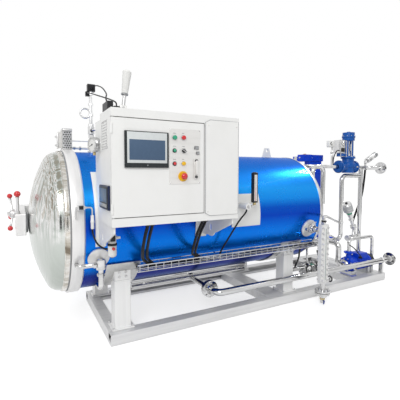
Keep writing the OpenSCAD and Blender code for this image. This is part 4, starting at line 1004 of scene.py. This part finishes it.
def basket_tray():
    """Wire basket tray, with the cables that lie in it."""
    lo, hi = corners("cable_tray")
    x0, x1 = lo.x, hi.x
    y0, y1 = -582, -493
    z0, z1 = lo.z + 3, hi.z - 3
    tray = Piece("wire_basket", "polished_steel")
    tray.use(PIPE)
    for y, z, r in ((y0, z1, 4.6), (y0, z0, 4.6), (y1, z1, 4.6), (y1, z0, 3.4), (y0, (z0 + z1) / 2, 2.6),
                    (y0 + 45, z0, 2.6)):
        tray.tube([(x0, y, z), (x1, y, z)], r, 8)
    step = 62.0
    for k in range(int((x1 - x0) / step)):
        x = x0 + 16 + step * k
        tray.tube([(x, y0 - 3, z1), (x, y0 - 3, z0 - 2), (x, y1 + 3, z0 - 2), (x, y1 + 3, z1)], 2.4, 6)
    for x in (x0 + 40, 158):
        tray.use(SATIN).box((x - 20, y1 - 6, z0 + 1), (x + 20, -462, z0 + 16), 2)
        tray.bolt((x, y0 + 60, z0 + 4), Z, 14)
    cables = ((-560, 8, RUBBER), (-546, 7, CONDUIT), (-530, 8, RUBBER), (-515, 7, PIPE),
              (-552, 6, PIPE), (-524, 6, RUBBER))
    for k, (y, r, finish) in enumerate(cables):
        lift = z0 + 8 + r + (13 if k > 3 else 0)
        path = []
        for j in range(25):
            t = j / 24
            sway = math.sin(9.0 * t + 1.7 * k) * 5 + math.sin(23 * t + 2.3 * k) * 3
            path.append((x0 + 8 + (x1 - x0 - 16) * t, y + sway, lift + 4 * math.sin(17 * t + k) + 3))
        tray.use(finish).tube(path, r, 8, 2)
    tray.done("cable_tray")


def skid_fittings():
    def on_stub(p):
        """Whether a saddle's face is on its upright stub, clear of the wrap under the vessel."""
        clear = p.y ** 2 + (p.z - AXIS_Z) ** 2 > (CLAD_R + 13) ** 2
        return clear and abs(p.y) > 320 and p.z < AXIS_Z

    for name in ("front_saddle", "rear_saddle"):
        repaint(name, LEG, on_stub)
    fittings = Piece("leg_bolts", "skid_steel")
    leg_lo, leg_hi = corners("legs")
    width, depth, over, outside = 123, 116, 24, 440
    plate_top, cap_z, rail_top = 98, 449, 88
    weld_z = plate_top + 1
    for x0, side in product((leg_lo.x + over, leg_hi.x - over - width), (-1, 1)):
        face_y = side * outside
        for dx, z in product((36, 86), (487, 520)):
            fittings.use(SATIN).bolt((x0 + dx, face_y, z), Y * side, 15, 4)
        cap_lo = (x0 - 5, face_y - side * (depth + 5), cap_z)
        fittings.use(LEG).box(cap_lo, (x0 + width + 5, face_y + side * 5, cap_z + 12), 2)
        for dx, inner in product((-12, width + 12), (-12, depth + 12)):
            fittings.use(SATIN).bolt((x0 + dx, side * (outside - inner), plate_top), Z, 14, 4)
        for dx in (-2, width + 2):
            fittings.use(LEG).tube([(x0 + dx, side * 438, weld_z), (x0 + dx, side * 328, weld_z)], 4, 6)
        fittings.tube([(x0, side * 442, weld_z), (x0 + width, side * 442, weld_z)], 4, 6)
    fittings.done()

    seams = Piece("rail_seams", "skid_steel")
    lo, hi = corners("near_rail")
    for side in (-1, 1):
        y = side * -lo.y
        for x in (lo.x + 94, hi.x - 94):
            seams.use(SKID).tube(
                [(x, y - side * 4, rail_top + 0.3), (x, y - side * 94, rail_top + 0.3)], 1.6, 6)
        seams.tube([(lo.x + 1, y, 20), (hi.x - 1, y, 20)], 2.2, 6)
    seams.done()


# Drain pipework

def drain_fittings():
    drain = Piece("flange_bolts", "satin_steel")
    valve_lo, valve_hi = corners("drain_valve")
    x, z = (valve_lo.x + valve_hi.x) / 2, DRAIN_Z
    joint_y = valve_lo.y
    drain.use(RUBBER).ring((x, joint_y + 0.4, z), -Y, 30, 52, 0.9, 0.2, 40)
    for way, y in ((Y, joint_y + 18), (-Y, joint_y - 18.3)):
        drain.use(SATIN).bolts((x, y, z), way, 57.5, 4, 19, 7)
    drain.use(PIPE).weld_neck((x, joint_y + 18, z), Y, 24).weld_neck((x, joint_y - 18.3, z), -Y, 30)
    end = Vector((corners("drain_main")[1].x, DRAIN_Y, z))
    drain.weld_neck(end - X * 18, -X, 30)
    drain.use(SATIN).ring(end - X * 0.5, X, 26.5, 44, 2.5, 0.8, 40)
    drain.use(PIPE)
    for at in (end.x - 300, x + 420):
        drain.ring((at, DRAIN_Y, z), X, 30.1, 31.2, 6, 0.5, 40)
    union_x = 1564
    drain.use(SATIN).ring((union_x, DRAIN_Y, z), X, 30.2, 34, 22, 1.5, 40)
    steam_z = 1325
    steam = Vector((corners("steam_inlet")[1].x, RISER_Y, steam_z))
    drain.use(PIPE).weld_neck(steam - X * 18, -X, 24)
    drain.use(SATIN).ring(steam - X * 0.5, X, 20.5, 40, 2.5, 0.8, 40)
    sump_lo, sump_hi = corners("sump_header")
    for x in (sump_lo.x + 110, sump_hi.x - 90):
        drain.use(PIPE).ring((x, 0, 322), Z, 17.2, 24, 8, 2, 28)
    for header_z, r in ((294, 30), (DRAIN_Z, 24)):
        for x, way in ((sump_lo.x, -X), (sump_hi.x, X)):
            drain.solid((x, 0, header_z), way, [(0, r + 0.4), (4, r - 1), (8, r * 0.7), (10, 0)])
    drain.done()


# Rear pipework

def rear_control():
    x, y, line = 1305, RISER_Y, LINE_Z
    valve = Piece("control_valve_parts", "valve_blue")
    for side, reach, finish in ((-1, 170, VALVE_BLUE), (1, 115, PIPE)):
        port = Vector((x + side * reach, y, line))
        valve.use(SATIN).bolts(port - X * side * 18, X * -side, 60, 4, 18, 6)
        valve.use(VALVE_BLUE).turn(
            port - X * side * 18, X * -side, [(0, 52), (0, 62), (10, 58), (26, 52.2)], 40, loop=True)
        valve.use(finish).ring(port + X * side * 0.5, X * side, 25.4, 66, 14, 2, 40)
    valve.use(VALVE_BLUE).turn(
        (x, y, line - 4), Z, [(0, 66), (0, 76), (20, 79), (52, 72), (60, 66)], 48, loop=True)
    valve.ring((x, y, line + 96), Z, 60, 82, 22, 4, 48)
    valve.use(SATIN).bolts((x, y, line + 118), Z, 72, 8, 14, 5)
    cap = line + 310
    for side in (-1, 1):
        valve.use(VALVE_BLUE).box(
            (x + side * 43 - 21, y - 27, line + 124), (x + side * 43 + 21, y + 27, cap), 7)
    valve.use(PIPE_UP).solid((x, y, line + 128), Z, [(0, 23), (30, 23), (34, 16.4), (60, 16.4)], 6)
    valve.ring((x, y, line + 220), Z, 16.2, 22, 16, 3, 32)
    valve.use(DIAL).box((x + 6, y - 31, line + 190), (x + 19, y - 24, line + 270), 1)
    valve.use(VALVE_BLUE).solid(
        (x, y, cap - 6), Z,
        [(0, 40), (6, 62), (12, 68.6), (40, 68.6), (40, 73), (44, 75), (54, 75), (58, 73), (58, 68.6),
         (84, 66), (98, 56), (106, 30), (108, 0)], 56)
    valve.use(SATIN).bolts((x, y, cap + 52), Z, 71, 10, 8, 2)
    valve.use(VALVE_BLUE).solid((x, y, cap + 100), Z, [(0, 20), (6, 18), (8, 0)], 24)
    box_lo, box_hi = Vector((x - 200, y - 44, line + 160)), Vector((x - 110, y + 44, line + 310))
    valve.use(PIPE_UP).box(box_lo + Vector((5, -6, 70)), box_hi + Vector((-5, -46, -8)), 6)
    valve.use(BLACK).box(box_lo + Vector((8, -5, 6)), box_hi + Vector((-8, -50, -88)), 4)
    valve.use(VALVE_BLUE).box((x - 168, y - 30, line + 118), (x - 62, y + 30, line + 161), 5)
    gauge_at = Vector((x - 155, y - 50, line + 264))
    valve.use(PIPE).ring(gauge_at, -Y, 18, 24, 8, 2, 32)
    valve.use(DIAL).disc(gauge_at, -Y, 18.4, 3, 0.5, 32)
    valve.use(BLACK).tube([gauge_at - Y * 3.6, gauge_at - Y * 3.6 + Vector((9, 0, 9))], 1.2, 6)
    valve.use(BLACK).tube(
        [(x - 197, y - 20, line + 190), (x - 240, y - 30, line + 176), (x - 270, y - 20, line + 110),
         (x - 270, y - 8, line + 18)], 6, 10, 5)
    valve.done()
    stem_r = 17
    repaint("control_valve", PIPE_UP,
            lambda p: math.hypot(p.x - x, p.y - y) < stem_r and line + 122 < p.z < cap)
    repaint("control_valve", SATIN, lambda p: p.x < x - 68 and p.z > line + 150)

    risers = Piece("riser_fittings", "polished_steel")
    tap = 1027
    risers.use(WHITE).box((tap - 76, y - 24, line + 226), (tap + 14, y + 20, line + 296), 8)
    risers.use(BLACK).solid((tap - 40, y - 24, line + 262), -Y, [(0, 18), (4, 18), (6, 15)], 24)
    risers.use(DIAL).disc((tap - 40, y - 30, line + 262), -Y, 14, 1.2, 0.3, 24)
    risers.use(PIPE_UP).sleeve((tap, y, line + 150), Z, 12.2, [(0, 20), (18, 20), (20, 17)], 6)
    for z in (700, 1140):
        risers.ring((LEFT_RISER_X, y, z), Z, 25.1, 26.4, 5, 0.5, 36)
    for z in (320, 780, 1180):
        risers.ring((RIGHT_RISER_X, y, z), Z, 25.1, 26.4, 5, 0.5, 36)
    risers.use(SATIN).ring((RIGHT_RISER_X, y, 88.2), Z, 25.2, 56, 12, 2, 36)
    risers.bolts((RIGHT_RISER_X, y, 100), Z, 43, 4, 13, 4)
    risers.use(PIPE).ring((LEFT_RISER_X, y, 655), Z, 25.2, 32, 26, 3, 36)
    for at in (760, 960):
        for flange_x in (at, at + 13):
            risers.use(PIPE).ring((flange_x, y, RUN_Z), X, 25.2, 38, 12, 2, 36)
        risers.use(SATIN).bolts((at + 25, y, RUN_Z), X, 31, 6, 9, 3)
    risers.done()

    probe = Piece("transmitter_parts", "black_plastic")
    start = Vector((1655, y, 1412))
    along = Vector((175, 0, 88)).normalized()
    probe.use(PIPE_UP).ring(start + along * 8, along, 29, 33, 60, 4, 32)
    probe.use(WHITE).ring(start + along * 74, along, 29, 32.5, 40, 3, 32)
    probe.use(GREY).turn(start + along * 150, along, [(0, 29), (0, 33), (40, 33), (46, 29), (46, 0)], 32)
    probe.use(PIPE).solid(start - along * 4, -along, [(0, 20), (16, 20), (18, 17), (30, 17)], 6)
    probe.done()
    repaint("steam_inlet", SATIN, lambda p: p.z > 1395 and p.x > 1650)
    repaint("air_hoses", PIPE, lambda p: 340 < p.x < 1230)


def rear_actuators():
    x, y = 993, 40
    z1, top = LINE_Z + 55, LINE_Z + 150
    act = Piece("actuator_parts", "valve_blue")
    act.use(MOTOR_BLUE)
    for k in range(5):
        act.box((x - 112 + 24 * k, y + 26, z1 + 24), (x - 104 + 24 * k, y + 154, top - 10), 2)
    for k in range(7):
        act.box((x + 22 + 26 * k, y + 31, z1 + 26), (x + 30 + 26 * k, y + 149, top - 10), 2)
    act.box((x + 50, y + 28, AXIS_Z + 140), (x + 210, y + 152, AXIS_Z + 158), 4)
    act.box((x + 50, y + 28, z1 - 130), (x + 210, y + 152, z1 - 112), 4)
    act.use(SATIN)
    for dx, z, dy in product((64, 196), (AXIS_Z + 158, z1 - 112), (40, 140)):
        act.bolt((x + dx, y + dy, z), Z, 14, 4)
    for dx in (-196, -112, 6, 192):
        act.bolt((x + dx, y + 42, top - 40), -Y, 14)
    act.use(BRASS).solid((x + 130, y + 90, z1 - 50), Z, [(0, 40), (12, 40), (16, 30), (40, 30)], 6)
    act.use(PIPE).solid((x - 212, y + 90, z1 + 44), X, [(0, 26), (8, 26)], 24)
    flange = (x + 130, y + 90, AXIS_Z + 54)
    act.use(PIPE_UP).ring(flange, Z, 25.2, 58, 24, 2, 40).bolts(flange, -Z, 45, 6, 12, 4)
    act.use(YELLOW).solid((x - 60, y + 90, top - 1), Z, [(0, 18), (8, 18), (12, 12)], 24)
    act.done()

    angle = Piece("angle_valve_parts", "satin_steel")
    lean = Vector((-0.42, 0, 0.9)).normalized()
    body = Vector((1450, RISER_Y, RUN_Z))
    foot = body + Z * 100
    head = foot + lean * 250
    angle.use(GREY_HEAD).turn(
        head, lean,
        [(-4, 20), (0, 48), (6, 56), (30, 57), (34, 54), (38, 57), (76, 57), (92, 52), (106, 34), (111, 0)],
        40)
    angle.use(GREEN).sleeve(head - lean * 34, lean, 20.4, [(0, 30), (4, 34), (24, 34), (30, 30)])
    angle.use(BLACK).solid(head + lean * 109, lean, [(0, 16), (10, 14), (14, 0)], 24)
    angle.use(BLACK).box(head + Vector((-60, -34, 30)), head + Vector((-20, 0, 70)), 6)
    angle.use(SATIN)
    for d, r, h in ((20, 36, 14), (40, 36, 14), (130, 32, 18), (176, 28, 30)):
        angle.sleeve(foot + lean * d, lean, 20.3, [(0, r), (h - 2, r), (h, r - 2)])
    angle.bolts(foot + lean * 54, lean, 29, 6, 10, 3)
    for dx in (-128, -62, 40):
        angle.sleeve(body + X * dx, X, 20.3, [(0, 34), (14, 34)])
    angle.use(PIPE).turn(body, X, [(-40, 20.2), (-34, 32), (0, 38), (34, 32), (40, 20.2)], 36, loop=True)
    angle.done()


def pump_set():
    x, y, z = 1110, -360, 215
    pump = Piece("pump_casing", "valve_blue")
    pump.use(MOTOR_BLUE).solid(
        (x - 6, y, z), X, [(0, 54), (6, 70), (14, 80), (30, 88), (62, 88), (80, 82), (94, 74), (96, 0)], 56)
    pump.use(SATIN).bolts((x + 8, y, z), -X, 71, 8, 14, 5)
    pump.use(CHAMBER).box((x + 6, y - 84, 90), (x + 84, y + 84, 104), 4)
    pump.use(MOTOR_BLUE).ring((x - 22, y, z), X, 35.2, 62, 16, 3, 40)
    pump.use(RUBBER).ring((x - 30, y, z), X, 35.2, 60, 7, 1.5, 40)
    pump.use(PIPE).ring((x - 48, y, z), X, 35.2, 62, 17, 2.5, 40)
    pump.use(SATIN).bolts((x - 48, y, z), -X, 52, 6, 14, 5)
    pump.use(MOTOR_BLUE).ring((x + 45, y, z + 128), Z, 30.2, 54, 16, 3, 40)
    pump.use(SATIN).bolts((x + 45, y, z + 128), -Z, 44, 4, 14, 4)
    pump.use(WHITE).box((x + 20, y - 90.5, z + 10), (x + 62, y - 82, z + 38), 2)
    pump.use(PEARL).solid((x + 62, y - 76, z - 34), -Y, [(0, 26), (6, 26), (9, 19), (12, 17)], 36)
    pump.use(BLACK).solid((x + 62, y - 88, z - 34), -Y, [(0, 11), (6, 10)], 28)
    pump.done()
    for name in ("pump", "pump_motor"):
        repaint(name, CHAMBER, lambda p: p.z < 146)

    x0 = corners("pump_motor")[0].x
    motor = Piece("motor_fins", "valve_blue")
    motor.use(MOTOR_BLUE)
    for k in range(28):
        a = math.tau * (k + 0.5) / 28
        if math.sin(a) > 0.72 or math.sin(a) < -0.9:
            continue
        place = Matrix.Translation((x0, y, z)) @ Matrix.Rotation(a, 4, "X")
        motor.box((30, 69, -2.0), (262, 82, 2.0), 0.9, place)
    for at, r in ((0, 83), (248, 81)):
        motor.ring((x0 + at, y, z), X, 66, r, 22, 4, 56)
    motor.box((x0 + 36, y - 64, z + 100), (x0 + 204, y + 64, z + 118), 5)
    motor.use(SATIN)
    for dx, dy in product((48, 192), (-52, 52)):
        motor.screw((x0 + dx, y + dy, z + 118), Z, 6)
    motor.use(BLACK).solid((x0 + 60, y - 59, z + 76), -Y, [(0, 13), (12, 13), (14, 10), (22, 9)], 12)
    motor.tube(
        [(x0 + 60, y - 78, z + 76), (x0 + 58, y - 96, z + 74), (x0 + 30, y - 104, z + 100),
         (x0 - 30, y - 60, z + 190), (x0 - 58, y - 12, 440)], 6, 10, 6)
    motor.use(WHITE).box((x0 + 100, y - 84.5, z - 6), (x0 + 150, y - 80, z + 20), 0.8)
    cowl = x0 + 270
    motor.use(BLACK).sleeve(
        (cowl, y, z), X, 66, [(0, 79), (4, 82), (48, 79), (56, 72), (60, 58), (60, 50), (50, 50)], 56)
    for r in (15, 28, 41, 54):
        motor.ring((cowl + 56, y, z), X, r, r + 6, 5, 1.5, 48)
    for k in range(6):
        a = math.tau * k / 6
        bar = [(cowl + 58, y + r * math.cos(a), z + r * math.sin(a)) for r in (8, 60)]
        motor.tube(bar, 3, 8)
    motor.done()


def rear_cluster():
    """Small valves by the rear leg, with their stiff plastic lines."""
    y, z = -382, 275
    bank = Piece("valve_bank_parts", "polished_steel")
    for x in (453, 593):
        bank.use(SATIN).bolts((x + 16, y, z), X, 46, 4, 14, 4)
        bank.bolts((x - 60, y, z), -X, 46, 4, 14, 4)
        bank.use(PIPE).turn(
            (x - 44, y, z), X, [(0, 22.2), (6, 34), (22, 40), (38, 34), (44, 22.2)], 36, loop=True)
        bank.use(BLACK).ring((x - 22, y - 62, z), -Y, 32, 44, 10, 4.5, 36)
        bank.use(SATIN)
        for k in range(4):
            a = math.tau * k / 4 + 0.4
            bank.tube(
                [(x - 22, y - 66, z), (x - 22 + 36 * math.cos(a), y - 66, z + 36 * math.sin(a))], 3.6, 8)
        bank.solid((x - 22, y - 60, z), -Y, [(0, 12), (12, 12), (15, 9)], 6)
    bank.use(BLACK).tube(
        [(300, y, z + 22), (330, y - 20, z + 120), (300, y - 60, 470), (296, y - 84, 548)], 9, 10, 6)
    bank.use(BLACK).tube(
        [(640, y, z + 22), (600, y - 40, z + 100), (520, y - 90, z + 190), (430, -640, 470),
         (420, -660, 540)], 8, 10, 6)
    bank.use(GREEN).box((520, y - 30, z + 18), (560, y + 10, z + 34), 3)
    bank.use(PIPE).tube([(470, y, z + 20), (470, y, 430), (520, y + 40, 470), (760, -226, 470)], 11, 12, 6)
    bank.tube([(440, -520, 540), (560, -470, 505), (700, -330, 520), (860, -224, 478)], 10, 12, 6)
    bank.tube(
        [(430, -500, 575), (600, -440, 590), (860, -330, 570), (1080, -232, 500), (1150, -226, 478)], 8, 12,
        6)
    bank.done()


vessel_trim()
gauge_and_guard()
cabinet_trim()
cabinet_controls()
signal_tower()
instruments()
level_column()
basket_tray()
skid_fittings()
drain_fittings()
rear_control()
rear_actuators()
pump_set()
rear_cluster()


# Camera, light and floor

def camera():
    data = bpy.data.cameras.new("camera")
    made = put("camera", data)
    bpy.context.scene.camera = made
    yaw, pitch, roll = (math.radians(a) for a in (28.46, -3.31, 0.11))
    ahead = Vector((math.sin(yaw) * math.cos(pitch), math.cos(yaw) * math.cos(pitch), math.sin(pitch)))
    made.location = Vector((-2166.5, -2891.5, 1278.6)) * MM
    made.rotation_mode = "QUATERNION"
    made.rotation_quaternion = ahead.to_track_quat("-Z", "Y") @ Matrix.Rotation(roll, 3, "Z").to_quaternion()
    focal_px, image_px, data.sensor_width = 334.34, 400, 36.0
    data.lens = data.sensor_width * focal_px / image_px
    data.shift_x, data.shift_y = -0.0005, -0.0235
    data.clip_end = 100.0


def light(name, place, target, size, power, along=X):
    """Area lamp that faces a target, with its long side along a direction."""
    data = bpy.data.lights.new(name, "AREA")
    data.shape = "RECTANGLE"
    data.size, data.size_y = size
    data.energy = power
    made = put(name, data)
    back = (Vector(place) - Vector(target)).normalized()
    side = (along - back * along.dot(back)).normalized()
    turned = Matrix((side, back.cross(side), back)).transposed().to_4x4()
    made.matrix_world = Matrix.Translation(place) @ turned
    return made


FLOOR_GLOW = 0.62


def studio():
    world = bpy.context.scene.world or bpy.data.worlds.new("world")
    bpy.context.scene.world = world
    world.use_nodes = True
    tree = world.node_tree
    sky = tree.nodes["Background"]
    sky.inputs["Color"].default_value = (1, 1, 1, 1)
    rays = tree.nodes.new("ShaderNodeLightPath")
    seen = tree.nodes.new("ShaderNodeMath")
    both = tree.nodes.new("ShaderNodeMath")
    seen.operation = both.operation = "ADD"
    both.use_clamp = True
    tree.links.new(rays.outputs["Is Camera Ray"], seen.inputs[0])
    tree.links.new(rays.outputs["Is Glossy Ray"], seen.inputs[1])
    tree.links.new(seen.outputs[0], both.inputs[0])
    tree.links.new(rays.outputs["Is Transmission Ray"], both.inputs[1])
    level = tree.nodes.new("ShaderNodeMapRange")
    level.inputs["To Min"].default_value = 0.70
    level.inputs["To Max"].default_value = 1.0
    tree.links.new(both.outputs[0], level.inputs["Value"])
    tree.links.new(level.outputs["Result"], sky.inputs["Strength"])

    light("key", (-4.5, -5.5, 5.0), (-0.8, 0, 0.9), (3.0, 3.0), 218)
    far_end, near_end, vessel = Vector((3.6, -0.3, 4.3)), Vector((2.3, -3.0, 4.2)), Vector((0.2, -0.4, 1.2))
    run = far_end - near_end
    strip = light("strip", (far_end + near_end) / 2, vessel, (run.length, 0.14), 4, run)
    window = light("window", far_end, vessel, (0.7, 0.4), 80, run)
    strip.visible_diffuse = window.visible_diffuse = False

    plain_floor()
    studio_flags()


def sheet(name, verts, faces, finish):
    """Flat faces with one finish."""
    mesh = bpy.data.meshes.new(name)
    mesh.from_pydata(verts, [], faces)
    mesh.materials.append(finish.mat)
    return put(name, mesh)


def studio_flags():
    """Dark upright panels round the studio, which only polished metal sees."""
    finish = Finish("flag_cloth", (0.02, 0.02, 0.022), 0.9, 0.0, specular_ior_level=0.0)
    finish.bumpy(300.0, 0.0004)
    radius, tall, share = 8.0, 2.6, 11.0
    bearings = (70, 92, 114, 20, 42, 190, 212)
    verts, faces = [], []
    for k, bearing in enumerate(bearings):
        for a in (math.radians(bearing), math.radians(bearing + share)):
            x, y = radius * math.sin(a), radius * math.cos(a)
            verts += [(x, y, 0.05), (x, y, tall)]
        faces.append((4 * k, 4 * k + 1, 4 * k + 3, 4 * k + 2))
    made = sheet("studio_flags", verts, faces, finish)
    made.visible_camera = made.visible_diffuse = made.visible_shadow = False
    return made


def plain_floor():
    """White floor that keeps the object's shadow; a little glow lifts it to the sky's white."""
    finish = Finish("floor_white", (0.62, 0.62, 0.62), 0.9, 0.0, specular_ior_level=0.0)
    finish.mottle((0.61, 0.61, 0.61), 2.0)
    rays = finish.node("ShaderNodeLightPath")
    seen = finish.math("MAXIMUM", rays.outputs["Is Camera Ray"], rays.outputs["Is Glossy Ray"])
    finish.set("Emission Color", (1, 1, 1, 1))
    finish.link(finish.math("MULTIPLY", seen, FLOOR_GLOW), finish.bsdf.inputs["Emission Strength"])
    half = 40.0
    square = [(-half, -half, 0), (half, -half, 0), (half, half, 0), (-half, half, 0)]
    return sheet("floor", square, [(0, 1, 2, 3)], finish)


camera()
studio()

bpy.context.scene.view_settings.view_transform = "Standard"
bpy.context.view_layer.update()
